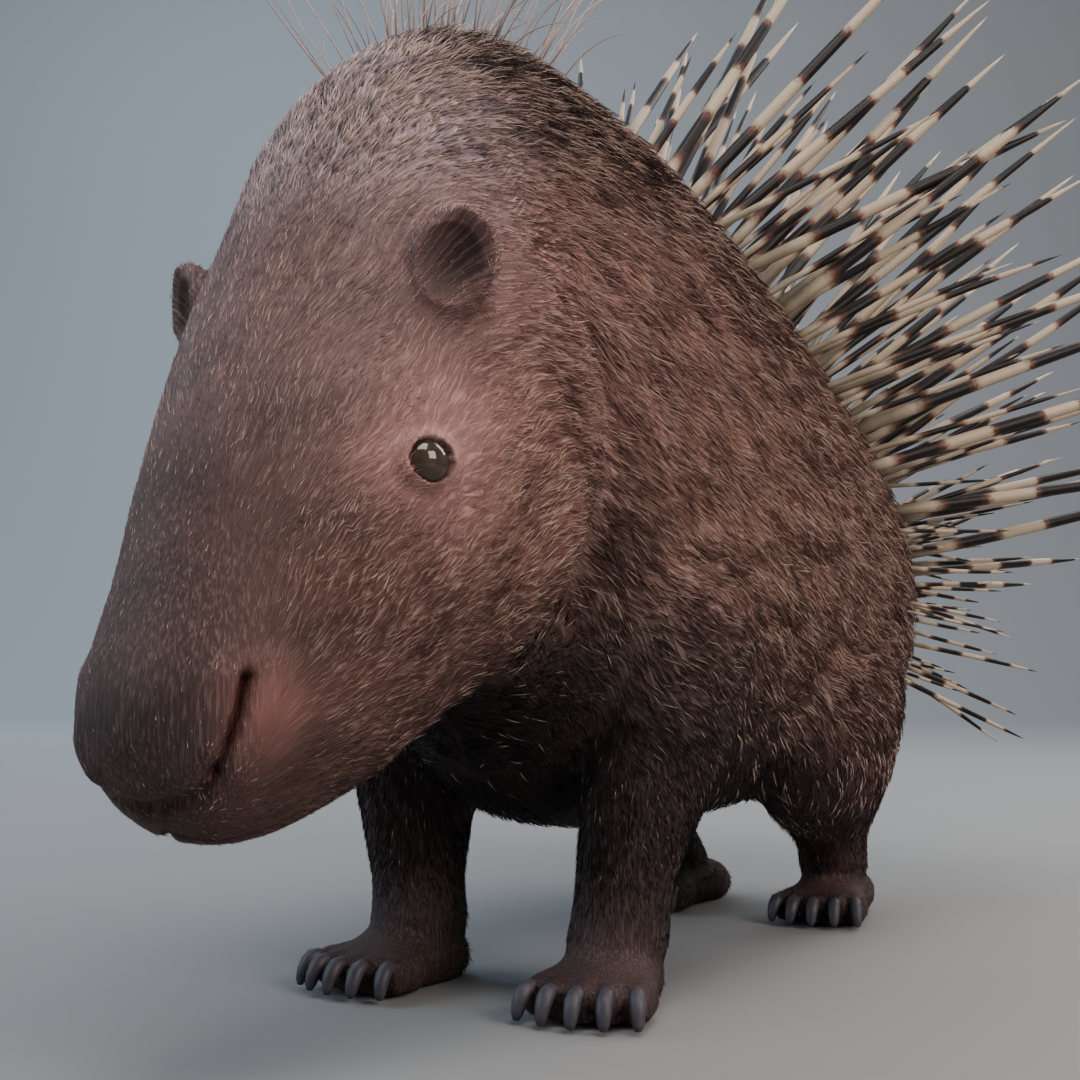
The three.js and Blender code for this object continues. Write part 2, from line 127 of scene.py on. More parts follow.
def through(table, t):
    """Rows of the table read between its own rows, for t from 0 to 1, on a smooth curve."""
    t = np.atleast_1d(np.asarray(t, float))
    table = np.asarray(table, float)
    last = len(table) - 1
    padded = np.vstack([2 * table[0] - table[1], table, 2 * table[last] - table[last - 1]])
    place = np.clip(t, 0, 1) * last
    row = np.minimum(place.astype(int), last - 1)
    f = (place - row)[:, None]
    a, b, c, d = (padded[row + k] for k in range(4))
    slope_b, slope_c = (c - a) / 2, (d - b) / 2
    return ((2 * b - 2 * c + slope_b + slope_c) * f ** 3
            + (3 * c - 3 * b - 2 * slope_b - slope_c) * f ** 2 + slope_b * f + b)


def trunk_surface(t, step, inset=0.0):
    """Points on the trunk: t runs from the rump to the nose, step once round from the left side."""
    s = through(TRUNK, t)
    top = np.column_stack([0 * s[:, 0], s[:, 0], s[:, 1]])
    bottom = np.column_stack([0 * s[:, 0], s[:, 2], s[:, 3]])
    high = np.linalg.norm(top - bottom, axis=1)[:, None]
    lift = (top - bottom) / np.maximum(high, 1e-6)
    belt, power = s[:, 5:6], 2 / s[:, 6:7]
    angle = np.atleast_1d(step)[:, None] * FULL_TURN
    across = np.sign(np.cos(angle)) * np.abs(np.cos(angle)) ** power
    upward = np.sign(np.sin(angle)) * np.abs(np.sin(angle)) ** power
    reach = np.where(upward > 0, high * (1 - belt), high * belt)
    half = np.maximum(s[:, 4:5] - inset, 0)
    centre = bottom + (top - bottom) * belt
    return centre + np.array([1, 0, 0]) * across * half + lift * upward * np.maximum(reach - inset, 0)


def trunk_middle(t):
    """Points half way between the line of the back and the line of the belly."""
    s = through(TRUNK, t)
    return np.column_stack([0 * s[:, 0], (s[:, 0] + s[:, 2]) / 2, (s[:, 1] + s[:, 3]) / 2])


def trunk_outward(t, step):
    """The way straight out of the trunk at those places."""
    nudge = 0.004
    along = trunk_surface(t + nudge, step) - trunk_surface(t - nudge, step)
    around = trunk_surface(t, step + nudge) - trunk_surface(t, step - nudge)
    out = unit(np.cross(along, around))
    inward = np.sum(out * (trunk_surface(t, step) - trunk_middle(t)), axis=1) < 0
    out[inward] *= -1
    return out


print("back over the shoulders", trunk_surface(0.4, 0.25)[0].round(1))


# %% [markdown]
# ## Camera
# The picture is taken from the animal's front left, close to the ground. The camera stands there
# first, because its distance sets how large the head looks against the body.

# %% Camera and stage
def placed(name, data):
    """A new object of the scene."""
    made = bpy.data.objects.new(name, data)
    bpy.context.scene.collection.objects.link(made)
    return made


def put(node, **values):
    """Sets the inputs of a shader node by name, with an underscore for each space."""
    for name, value in values.items():
        node.inputs[name.replace("_", " ")].default_value = value


CAMERA_AT = (313.7, -446.3, 123.3)
CAMERA_TURN, CAMERA_RISE = 31.0, 6.1
FOCAL_PIXELS, FRAME_PIXELS, SENSOR_MM = 1400, 1080, 36
camera = placed("camera", bpy.data.cameras.new("camera"))
camera.data.sensor_width = SENSOR_MM
camera.data.lens = FOCAL_PIXELS / FRAME_PIXELS * SENSOR_MM
camera.data.clip_start = 0.01
camera.location = Vector((np.array(CAMERA_AT) + SHIFT) * MM)
camera.rotation_euler = (math.radians(90 + CAMERA_RISE), 0, math.radians(CAMERA_TURN))
bpy.context.scene.camera = camera
print("camera at", [round(v, 3) for v in camera.location])


def colour(red, green, blue):
    """A screen colour as the linear one that shaders use."""
    return tuple(c / 12.92 if c <= 0.04045 else ((c + 0.055) / 1.055) ** 2.4 for c in (red, green, blue))


def soft_light(name, at, aim, size, power, tint):
    """A square lamp at one spot, aimed at another."""
    lamp = placed(name, bpy.data.lights.new(name, "AREA"))
    lamp.data.size, lamp.data.energy, lamp.data.color = size, power, tint
    lamp.location = at
    lamp.rotation_euler = (Vector(aim) - Vector(at)).to_track_quat("-Z", "Y").to_euler()


soft_light("top_side", (0.5, -0.9, 2.3), (0, -0.1, 0.2), 1.3, 42, (1.0, 0.97, 0.95))
soft_light("sky_side", (-1.7, -1.1, 1.1), (0, -0.2, 0.2), 1.5, 24, (0.72, 0.86, 1.0))
soft_light("warm_side", (1.9, -0.5, 1.2), (0, 0, 0.2), 1.1, 38, (1.0, 0.87, 0.78))
soft_light("back_side", (0.6, 1.8, 1.8), (0, 0.1, 0.3), 1.3, 34, (1.0, 0.95, 0.90))

# Two more wash the wall behind, cool on the left and warm on the right
soft_light("wall_cool", (-3.2, 1.2, 4.2), (-5.0, 4.4, 1.0), 2.0, 360, (0.64, 0.82, 1.0))
soft_light("wall_warm", (0.6, 2.6, 4.4), (-0.8, 7.0, 1.2), 2.0, 170, (1.0, 0.93, 0.88))

SKY_STRENGTH = 0.55
world = bpy.data.worlds.new("studio")
world.use_nodes = True
put(world.node_tree.nodes["Background"], Color=(*colour(0.66, 0.70, 0.75), 1), Strength=SKY_STRENGTH)
bpy.context.scene.world = world

# The floor runs flat past the animal and then sweeps up, square to the camera
SWEEP_START, SWEEP_RADIUS, FLOOR_HALF, FLOOR_STRIPS = 4.5, 3.0, 12, 96
sweep = bmesh.new()
bmesh.ops.create_grid(sweep, x_segments=1, y_segments=FLOOR_STRIPS, size=FLOOR_HALF)
for vert in sweep.verts:
    past = vert.co.y - SWEEP_START
    if past > 0:
        bend = min(past / SWEEP_RADIUS, math.pi / 2)
        vert.co.y = SWEEP_START + SWEEP_RADIUS * math.sin(bend)
        vert.co.z = SWEEP_RADIUS * (1 - math.cos(bend)) + max(0, past - SWEEP_RADIUS * math.pi / 2)
bmesh.ops.rotate(sweep, verts=sweep.verts, matrix=Matrix.Rotation(math.radians(CAMERA_TURN), 3, "Z"))
floor_data = bpy.data.meshes.new("floor")
sweep.to_mesh(floor_data)
sweep.free()
floor_data.polygons.foreach_set("use_smooth", np.ones(len(floor_data.polygons), bool))
floor = placed("floor", floor_data)
floor_paint = bpy.data.materials.new("floor_paint")
floor_paint.use_nodes = True
put(floor_paint.node_tree.nodes["Principled BSDF"], Base_Color=(*colour(0.50, 0.50, 0.50), 1), Roughness=0.7)
floor_data.materials.append(floor_paint)
print("lamps", len(bpy.data.lights))

# %% [markdown]
# ## The skin as one body
# Each form is bridged from circles that are moved onto its sections. The closed forms overlap, and
# a voxel remesh melts them into one skin, so that no leg shows a seam.
# The skin lies inside the solids by the depth of the coat.

# %% Bridged forms
def steps_round(sides):
    """Angles once round, as a column."""
    return np.arange(sides)[:, None] / sides * FULL_TURN


def lofted(body, rings):
    """Bridges circles moved onto the rings, and caps both ends."""
    loops = []
    for ring in rings:
        made = bmesh.ops.create_circle(body, segments=len(ring), radius=1)["verts"]
        for vert, spot in zip(made, ring):
            vert.co = Vector((np.asarray(spot) + SHIFT) * MM)
        loops.append({edge for vert in made for edge in vert.link_edges})
    for first, second in zip(loops, loops[1:]):
        bmesh.ops.bridge_loops(body, edges=list(first | second))
    for end in (loops[0], loops[-1]):
        bmesh.ops.contextual_create(body, geom=list(end))


def limb_rings(table, rows, sides, side=1, level=False, inset=0.0):
    """Rings along a limb, level or square to its line."""
    rings = []
    for t in np.linspace(0, 1, rows):
        x, y, z, wide, deep = through(table, t)[0]
        ahead, behind = through(table, min(1, t + 0.01))[0], through(table, max(0, t - 0.01))[0]
        along = np.array([0, 0, -1.0]) if level else (ahead - behind)[:3]
        along = along / np.linalg.norm(along)
        across = np.array([1.0, 0, 0]) - along * along[0]
        across /= np.linalg.norm(across)
        lift = np.cross(across, along)
        angle = steps_round(sides)
        ring = (np.array([x, y, z]) + across * np.cos(angle) * max(wide - inset, 1)
                + lift * np.sin(angle) * max(deep - inset, 1))
        rings.append(ring * np.array([side, 1, 1]))
    return rings


# The coat thins from the first of these places along the trunk to the second
NAPE_T, EARS_T = 0.42, 0.60
FACE_DEPTH, COAT_DEPTH, LEG_DEPTH, SOLE_DEPTH, TOE_DEPTH = 2.6, 4.0, 2.5, 0.8, 0.4
TRUNK_SIDES = 64
body = bmesh.new()
ring_ts = np.concatenate([[0.006], np.linspace(0.02, 0.98, 58), [0.994]])
ring_depths = np.interp(ring_ts, [NAPE_T, EARS_T], [COAT_DEPTH, FACE_DEPTH])
once_round = np.arange(TRUNK_SIDES) / TRUNK_SIDES
lofted(body, [trunk_surface(np.full(TRUNK_SIDES, t), once_round, depth)
              for t, depth in zip(ring_ts, ring_depths)])
lofted(body, limb_rings(TAIL, 8, 20, inset=COAT_DEPTH))
print("trunk and tail", len(body.verts), "points")


# %% Legs, feet and toes
def turned(points, plan, side):
    """Points beside an ankle, turned outward and moved to it, on the left or the right."""
    turn, (ankle_x, ankle_y) = math.radians(plan["turn"]), plan["ankle"]
    x, y, z = points.T
    out = np.column_stack([x * math.cos(turn) - y * math.sin(turn) + ankle_x,
                           x * math.sin(turn) + y * math.cos(turn) + ankle_y, z])
    return out * np.array([side, 1, 1])


claw_arches, clefts = [], []
for side in (1, -1):
    for leg, plan in ((FRONT_LEG, FRONT_FOOT), (HIND_LEG, HIND_FOOT)):
        lofted(body, limb_rings(leg, 18, 28, side, level=True, inset=LEG_DEPTH))
        back, front, half, high = (plan[k] for k in ("back", "front", "half", "high"))
        # The sole from heel to toes: centre, half width, half height
        sole = np.array([
            [0, back + 7, 9, half * 0.45, high * 0.30],
            [0, back - 6, 9, half * 0.8, high * 0.56],
            [0, (back - front) / 2, 12, half * 0.92, high * 0.64],
            [0, -front * 0.6, 11, half * 0.97, high * 0.58],
            [0, -front, 9, half * 0.97, high * 0.46],
            [0, -front - 10, 6, half * 0.84, high * 0.30]])
        lofted(body, [turned(ring, plan, side) for ring in limb_rings(sole, 9, 24, inset=SOLE_DEPTH)])
        for toe_number in range(TOES):
            across = (toe_number - (TOES - 1) / 2) / ((TOES - 1) / 2)
            long = TOE_LENGTH * (1 - TOE_SHORTER * across ** 2)
            x = across * (half - 3)
            tip = np.array([x + across * long * TOE_FAN, -front - 5 - long, 6.5])
            toe = np.array([
                [x, -front + 6, 9, TOE_RADIUS, TOE_HIGH],
                [(x + tip[0]) / 2, -front - long / 2, 9, TOE_RADIUS, TOE_HIGH],
                [tip[0], tip[1] + 3, 8.2, TOE_RADIUS * 0.9, TOE_HIGH * 0.9]])
            lofted(body, [turned(ring, plan, side) for ring in limb_rings(toe, 8, 14, inset=TOE_DEPTH)])
            # A claw arches from the top of its toe, over the crown, to its point near the floor
            out = across * 1.5
            arch = tip + np.array([[0, 6.5, 6.4], [out, -1.2, 8.8], [out * 2, -3.4, -4.6]])
            claw_arches.append(turned(arch, plan, side))
            if toe_number:
                cleft = np.array([[(x + last_x) / 2, -front + 2, 15.0],
                                  [(tip[0] + last_tip) / 2, tip[1] + 1, 5.0]])
                clefts.append(turned(cleft, plan, side))
            last_x, last_tip = x, tip[0]

# A rounded disc at each ear, hollowed later
EAR_ALONG, EAR_ROUND, EAR_TURN, EAR_STANDS = 0.643, 0.100, 46, 3.5
EAR_THICK, EAR_WIDE, EAR_HIGH = 6.0, 15.0, 18.5
ear_out = trunk_outward(EAR_ALONG, EAR_ROUND)[0]
ear_at = trunk_surface(EAR_ALONG, EAR_ROUND)[0] + ear_out * EAR_STANDS
ear_turn = math.radians(EAR_TURN)
ear_face = np.array([math.cos(ear_turn), -math.sin(ear_turn), 0])
ear_back = np.array([math.sin(ear_turn), math.cos(ear_turn), 0])
for side in (1, -1):
    rings = []
    for u in np.linspace(-0.985, 0.985, 14):
        radius = math.sqrt(1 - u * u)
        angle = steps_round(24)
        ring = (ear_face * EAR_THICK * radius * np.cos(angle) + ear_back * EAR_WIDE * radius * np.sin(angle)
                + np.array([0, 0, EAR_HIGH * u]))
        rings.append((ring + ear_at) * np.array([side, 1, 1]))
    lofted(body, rings)
bmesh.ops.recalc_face_normals(body, faces=body.faces)
print("forms", len(body.verts), "points")

# %% [markdown]
# ## Melting the forms together
# The remesh leaves small steps where forms met, and smoothing rounds them, most of all away from the
# feet and ears.

# %% Remesh and smooth
VOXEL = 0.003
FEET_TOP, EAR_REACH = 0.030, 0.026
UPPER_ROUNDS, ALL_ROUNDS = 10, 2


def smoothed(form, verts, rounds, factor=0.5):
    """Moves the points towards their neighbours, a few times over."""
    for _ in range(rounds):
        bmesh.ops.smooth_vert(form, verts=verts, factor=factor, use_axis_x=True, use_axis_y=True,
                              use_axis_z=True)


rough = bpy.data.meshes.new("rough")
body.to_mesh(rough)
body.free()
melting = placed("melting", rough)
melt = melting.modifiers.new("melt", "REMESH")
melt.mode, melt.voxel_size, melt.use_smooth_shade = "VOXEL", VOXEL, True
melted = bpy.data.meshes.new_from_object(melting.evaluated_get(bpy.context.evaluated_depsgraph_get()))
bpy.data.objects.remove(melting)
skin_form = bmesh.new()
skin_form.from_mesh(melted)
ears = [Vector((ear_at * [side, 1, 1] + SHIFT) * MM) for side in (1, -1)]
upper = [v for v in skin_form.verts
         if v.co.z > FEET_TOP and min((v.co - ear).length for ear in ears) > EAR_REACH]
smoothed(skin_form, upper, UPPER_ROUNDS)
smoothed(skin_form, skin_form.verts, ALL_ROUNDS)
print("skin", len(skin_form.verts), "points after melting")

# %% [markdown]
# ## Eyes, nostrils, mouth, ears and jowl
# The head gets the finest mesh. Its edges are divided near the eyes, ears and muzzle, and then each
# fold is pressed in or lifted by how far a point lies from its line.

# %% Finer mesh on the face
eye_low, eye_high = (np.array(corner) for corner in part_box("eye_left"))
eye_at = (eye_low + eye_high) / 2 / MM - SHIFT
EYE_ALONG, EYE_ROUND, EYE_RADIUS = 0.713, 0.046, 9.0
eye_out = trunk_outward(EYE_ALONG, EYE_ROUND)[0]
LID_OPEN, LID_STANDS = 7.2, 6.8
NOSTRIL_LINE = np.array([[35, -144, 127], [35.5, -146, 118], [32, -148, 107], [27, -149, 98]], float)
CREASE_LINE = np.array([[27, -149, 98], [21, -149, 92], [12, -150, 89], [0, -150, 87]], float)
MOUTH_LINE = np.array([[0, -141, 79], [14, -126, 76], [24, -108, 82], [32, -99, 91]], float)


def away_from_line(points, line):
    """How far each point lies from a line through the given spots."""
    best = np.full(len(points), 1e9)
    for a, b in zip(line, line[1:]):
        f = np.clip(((points - a) @ (b - a)) / max((b - a) @ (b - a), 1e-9), 0, 1)[:, None]
        best = np.minimum(best, np.linalg.norm(points - a - f * (b - a), axis=1))
    return best


def mirrored(vectors, points):
    """Swaps left and right in the vectors whose points lie on the right."""
    return vectors * np.array([-1, 1, 1]) ** (points[:, :1] < 0)


def left_side(points):
    return mirrored(points, points)


def points_and_normals(form):
    """The points of the mesh in the sections' millimetres, and their outward ways."""
    form.normal_update()
    return (np.array([v.co[:] for v in form.verts]) / MM - SHIFT,
            np.array([v.normal[:] for v in form.verts]))


def laid(line):
    """The line with many points, pressed onto the skin below it."""
    fine = np.array([a + (b - a) * f for a, b in zip(line, line[1:]) for f in np.linspace(0, 1, 7)])
    spots, ways = points_and_normals(skin_form)
    near = np.array([np.linalg.norm(spots - spot, axis=1).argmin() for spot in fine])
    return fine - ways[near] * np.sum((fine - spots[near]) * ways[near], axis=1)[:, None]


NOSTRIL_LINE, CREASE_LINE, MOUTH_LINE = laid(NOSTRIL_LINE), laid(CREASE_LINE), laid(MOUTH_LINE)
CLEFT_LINES = [line for line in clefts if line[0, 0] > 0]


def away_from_clefts(spots):
    return np.minimum.reduce([away_from_line(spots, line) for line in CLEFT_LINES])


# Twice, all edges this near to a feature are halved, and each feature widens or narrows its own reach
for reach in (16, 11):
    spots = left_side(points_and_normals(skin_form)[0])
    near = np.minimum.reduce([
        np.linalg.norm(spots - eye_at, axis=1) - 2, np.linalg.norm(spots - ear_at, axis=1) - 13,
        away_from_clefts(spots) + 6,
        away_from_line(spots, NOSTRIL_LINE) + 3, away_from_line(spots, CREASE_LINE) + 5,
        away_from_line(spots, MOUTH_LINE) + 5])
    chosen = near < reach
    skin_form.verts.ensure_lookup_table()
    edges = [e for e in skin_form.edges if chosen[e.verts[0].index] and chosen[e.verts[1].index]]
    bmesh.ops.subdivide_edges(skin_form, edges=edges, cuts=1, use_grid_fill=True)
    skin_form.verts.index_update()
print("skin", len(skin_form.verts), "points with a finer face")


# %% Folds of the face
# The jowl's edge as a curve: heights, and how far back the edge lies there
JOWL_CURVE = [106, 130, 148, 174, 199, 225, 252, 290], [-62, -23, -12, -4, 2, -1, -14, -40]
JOWL_SWELL, JOWL_GROOVE = 5.5, 8.0
# The brow above the eye and the dip before it: where from the eye, and how high
EYE_HILLS, EYE_HILL_WIDE = [((-3, -4, 17), 2.0), ((2, -10, -2), -0.7)], 9
SLIT_DEEP, SLIT_WIDE = 6.0, 1.7
# Along the lines of the muzzle: the line, moved by, height and width
FACE_FOLDS = [
    (NOSTRIL_LINE, (2, 8, 2), 3.2, 5.5), (NOSTRIL_LINE, (-5, -5, 0), 1.8, 6),
    (CREASE_LINE, (0, 0, 0), -3.0, 2.6), (CREASE_LINE, (0, 0, 8), 1.6, 5),
    (MOUTH_LINE, (0, 0, 6), 1.4, 4), (MOUTH_LINE, (0, 0, 0), -1.9, 2.0),
]
CLEFT_DEEP, CLEFT_WIDE, SOLE_LEVEL = 3.0, 1.7, 0.15


def hill(distance, width):
    """A smooth bump: 1 at no distance, and almost 0 at twice the width."""
    return np.exp(-(distance / width) ** 2)


def folded(points, normals):
    """Moves the points of the skin into the folds of the head."""
    spots = left_side(points)
    behind = spots[:, 1] - np.interp(spots[:, 2], *JOWL_CURVE)
    sideways = np.clip((spots[:, 0] - 14) / 30, 0, 1) * np.clip((300 - spots[:, 2]) / 60, 0, 1)
    move = sideways * (JOWL_SWELL * hill(behind + 15, 15) - JOWL_GROOVE * hill(behind - 6, 9))
    for offset, height in EYE_HILLS:
        move += height * hill(np.linalg.norm(spots - (eye_at + np.array(offset)), axis=1), EYE_HILL_WIDE)
    below_slit = np.clip((spots[:, 2] - 92) / 14, 0, 1)
    move -= SLIT_DEEP * hill(away_from_line(spots, NOSTRIL_LINE), SLIT_WIDE) * below_slit
    for line, offset, height, width in FACE_FOLDS:
        move += height * hill(away_from_line(spots, line + offset), width)
    spots = spots + mirrored(normals, points) * move[:, None]
    lidded(spots)
    cupped(spots)
    return mirrored(spots, points)


def lidded(spots):
    """Lays the lids over the eyeball: an open almond, a rim, and a slope down to the cheek."""
    local = spots - eye_at
    height = local @ eye_out
    flat = local - height[:, None] * eye_out
    up = np.array([0, 0, 1.0]) - eye_out * eye_out[2]
    up /= np.linalg.norm(up)
    along = np.cross(up, eye_out)
    u, v = flat @ along, flat @ up
    open_by = np.hypot(u / 1.12, v / np.where(v > 0, 0.96, 0.92))
    ball = np.sqrt(np.maximum(EYE_RADIUS ** 2 - np.minimum(open_by, EYE_RADIUS) ** 2, 0))
    target = np.where(open_by < LID_OPEN, ball - 3.5, LID_STANDS - 0.36 * np.abs(open_by - LID_OPEN - 1.0))
    blend = np.clip((14 - open_by) / 6.0, 0, 1)
    blend = blend * blend * (3 - 2 * blend) * (height > -2)
    spots += eye_out * ((target - height) * blend)[:, None]


def cupped(spots):
    """Hollows the ear's forward face and leaves a thin rim round it."""
    local = spots - ear_at
    height = local @ ear_face
    inside = np.hypot((local @ ear_back + 2.5) / EAR_WIDE, (local[:, 2] + 2) / EAR_HIGH)
    rear = np.clip(local @ ear_back / 8 + local[:, 2] / 18, 0, 1) * (np.abs(height) < 14)
    spots += (ear_face * 2.5 + ear_out * 2.5) * (hill(inside - 1.0, 0.2) * rear)[:, None]
    cup = np.clip(1 - (inside / 0.74) ** 2, 0, 1) ** 0.8
    spots -= ear_face * (6.5 * cup * ((height > 0) & (height < 14)))[:, None]


points, normals = points_and_normals(skin_form)
head_part = (points[:, 1] < 30) & (points[:, 2] > 66)
points[head_part] = folded(points[head_part], normals[head_part])
feet = points[:, 2] < 22
cleft_gap = away_from_clefts(left_side(points[feet]))
points[feet] -= normals[feet] * (CLEFT_DEEP * hill(cleft_gap, CLEFT_WIDE))[:, None]
# The soles lie flat, just above the level that the feet of the solids rest on
points[:, 2] = np.maximum(points[:, 2], SOLE_LEVEL)
for vert, spot in zip(skin_form.verts, points):
    vert.co = Vector((spot + SHIFT) * MM)
smoothed(skin_form, [v for v, of_head in zip(skin_form.verts, head_part) if of_head], 1, 0.25)
skin_data = bpy.data.meshes.new("skin")
bmesh.ops.triangulate(skin_form, faces=skin_form.faces)
skin_form.to_mesh(skin_data)
skin_form.free()
skin_data.polygons.foreach_set("use_smooth", np.ones(len(skin_data.polygons), bool))
print("skin triangles", len(skin_data.polygons))

# %% [markdown]
# ## Markings
# A porcupine is mauve-brown on the face, near black on the legs and chest, blotched on the nape and
# flecked with pale hairs on the flanks. Each named place below spreads its colour and its kind of
# hair round it, and both the skin and the coat read the same mix, so they always agree. The places
# behind the jowl and in the ear hollow are dark for painted shade.

# %% Places on the body
PLACES = [
    # name, place, spread, colour, pale share, hair length, hair width, lift, crowding
    ("muzzle", (20, -155, 115), 22, (0.22, 0.165, 0.155), 0.06, 3.0, 0.42, 9, 1.5),
    ("nose bridge", (14, -150, 165), 26, (0.28, 0.2, 0.185), 0.08, 3.6, 0.42, 9, 1.5),
    ("nostril fold", (34, -137, 118), 10, (0.50, 0.33, 0.31), 0.04, 2.4, 0.36, 7, 1.1),
    ("forehead", (22, -115, 250), 34, (0.38, 0.29, 0.28), 0.16, 4.6, 0.45, 10, 1.5),
    ("cheek", (48, -92, 148), 26, (0.31, 0.2, 0.18), 0.24, 5.2, 0.48, 11, 1.5),
    ("eye ring", (60, -82, 200), 17, (0.60, 0.43, 0.42), 0.22, 2.8, 0.38, 8, 2.1),
    ("jowl", (68, -30, 190), 26, (0.46, 0.32, 0.29), 0.40, 8, 0.62, 12, 1.4),
    # Painted shadow: the place behind the jowl is dark for the shadow that the jowl casts on the neck
    ("behind jowl", (76, 8, 175), 17, (0.2, 0.135, 0.125), 0.12, 8, 0.65, 12, 1.3),
    ("ear", (62, -70, 268), 18, (0.42, 0.3, 0.29), 0.16, 3.4, 0.42, 9, 1.5),
    # Painted shade: the ear hollow is near black for the shade inside the cup of the ear
    ("ear hollow", (60, -82, 262), 8, (0.12, 0.07, 0.065), 0.0, 3.0, 0.40, 10, 0.5),
    ("chin", (10, -120, 78), 24, (0.29, 0.2, 0.18), 0.10, 3.6, 0.5, 10, 1.3),
    ("crown", (20, -72, 330), 28, (0.56, 0.49, 0.5), 0.55, 9, 0.6, 14, 1.4),
    ("nape", (22, 10, 380), 40, (0.22, 0.135, 0.125), 0.38, 10, 0.7, 18, 1.4),
    ("neck side", (74, 22, 262), 34, (0.60, 0.44, 0.42), 0.46, 13, 0.72, 16, 1.2),
    ("shoulder", (88, 84, 200), 38, (0.55, 0.41, 0.37), 0.44, 12, 0.75, 15, 1.15),
    ("upper arm", (80, 70, 130), 30, (0.2, 0.14, 0.135), 0.10, 8, 0.7, 13, 1.1),
    ("chest", (0, 20, 110), 46, (0.11, 0.08, 0.08), 0.03, 8, 0.75, 14, 1.0),
    ("back", (30, 150, 350), 50, (0.25, 0.16, 0.145), 0.36, 15, 0.85, 18, 1.05),
    ("flank", (100, 190, 200), 50, (0.45, 0.32, 0.29), 0.50, 12, 0.8, 15, 1.05),
    ("rump", (64, 350, 190), 58, (0.36, 0.24, 0.21), 0.55, 13, 0.9, 18, 1.0),
    ("thigh", (96, 262, 110), 34, (0.28, 0.18, 0.16), 0.34, 8, 0.72, 13, 1.1),
    ("belly", (0, 200, 62), 70, (0.12, 0.09, 0.085), 0.06, 10, 0.85, 14, 0.8),
    ("front leg", (56, 68, 84), 36, (0.16, 0.115, 0.11), 0.05, 5.0, 0.55, 9, 1.2),
    ("hind leg", (60, 280, 60), 38, (0.21, 0.14, 0.13), 0.10, 5.5, 0.55, 10, 1.2),
    ("front foot", (50, 36, 12), 24, (0.21, 0.15, 0.145), 0.05, 2.6, 0.40, 7, 1.3),
    ("hind foot", (48, 300, 12), 30, (0.21, 0.15, 0.14), 0.05, 2.6, 0.40, 7, 1.3),
]
PALE = np.array(colour(0.78, 0.67, 0.62))
anchors = np.array([place[1] for place in PLACES], float)
spreads = np.array([place[2] for place in PLACES], float)
traits = np.array([[*colour(*place[3]), *place[4:9]] for place in PLACES])


def traits_at(spots):
    """The mix of colour and hair at each spot, in the order of the places above."""
    gap = np.linalg.norm(left_side(spots)[:, None, :] - anchors[None], axis=2)
    weight = np.exp(-np.minimum((gap / spreads) ** 1.5, 60)) + 1e-12
    return (weight @ traits) / weight.sum(1)[:, None]


def blotch(spots, size, seed):
    """Smooth random patches, about 0 to 1, from a few slanted waves."""
    waves = np.random.default_rng(seed).normal(size=(9, 3)) / size
    phases = np.random.default_rng(seed + 1).uniform(0, 6.28, 9)
    return 0.5 + 0.5 * np.sin(spots @ waves.T * 2.2 + phases).mean(1) * 2.0


NAPE_AT, NAPE_SPREAD = (30, 35, 370), 85


def skin_colour(spots):
    """The mixed colour, gently shaded, with dark blotches on the nape."""
    mix = traits_at(spots)
    shade = 0.78 + 0.42 * blotch(spots, 20, 4)
    nape = np.exp(-np.linalg.norm(left_side(spots) - NAPE_AT, axis=1) ** 2 / NAPE_SPREAD ** 2)
    shade *= 1 - nape * 0.88 * np.clip((blotch(spots, 12, 8) - 0.44) * 8, 0, 1)
    return np.clip(mix[:, :3] * shade[:, None], 0, 1)


def gather(data):
    """The points of a finished mesh in the sections' millimetres."""
    spots = np.empty(len(data.vertices) * 3)
    data.vertices.foreach_get("co", spots)
    return spots.reshape(-1, 3) / MM - SHIFT


def paint(data, rgb, pale=1.0):
    """Gives a mesh its markings, painted shade included, with the share of pale hairs as their fourth value.
    """
    layer = data.color_attributes.new("coat", "FLOAT_COLOR", "POINT")
    layer.data.foreach_set("color", np.column_stack([rgb, np.full(len(rgb), pale)]).ravel())


spine = trunk_middle(np.linspace(0.01, 0.99, 400))
spine_run = np.append(0, np.cumsum(np.linalg.norm(np.diff(spine, axis=0), axis=1)))


def nearest_on_spine(spots):
    """Which point of the spine each spot belongs to."""
    flat = spots[:, 1:]
    best, where = np.full(len(spots), 1e12), np.zeros(len(spots), int)
    for k, place in enumerate(spine[:, 1:]):
        gap = ((flat - place) ** 2).sum(1)
        closer = gap < best
        best[closer], where[closer] = gap[closer], k
    return where


def on_leg(spots):
    """How far each spot belongs to a leg, from 0 to 1."""
    low, aside = (122 - spots[:, 2]) / 50, (np.abs(spots[:, 0]) - 18) / 14
    return np.clip(low, 0, 1) * np.clip(aside, 0, 1) * (spots[:, 1] > 5)


def on_muzzle(spots):
    """How far each spot belongs to the front of the nose, where the hair runs straight up."""
    return np.clip((-130 - spots[:, 1]) / 16, 0, 1)


def flow(spots):
    """Where a spot lies along and round the body in millimetres, and where hair runs upright."""
    where = nearest_on_spine(spots)
    lift = spots[:, 2] - spine[where, 2]
    round_it = np.arctan2(spots[:, 0], lift) * 85
    bent = round_it + 16 * blotch(spots, 26, 51)
    upright = np.maximum(on_leg(spots), on_muzzle(spots))
    return np.column_stack([spine_run[where] + 5 * blotch(spots, 14, 52), bent, upright])


skin_spots = gather(skin_data)
skin_rgb = skin_colour(skin_spots)
skin_left = left_side(skin_spots)
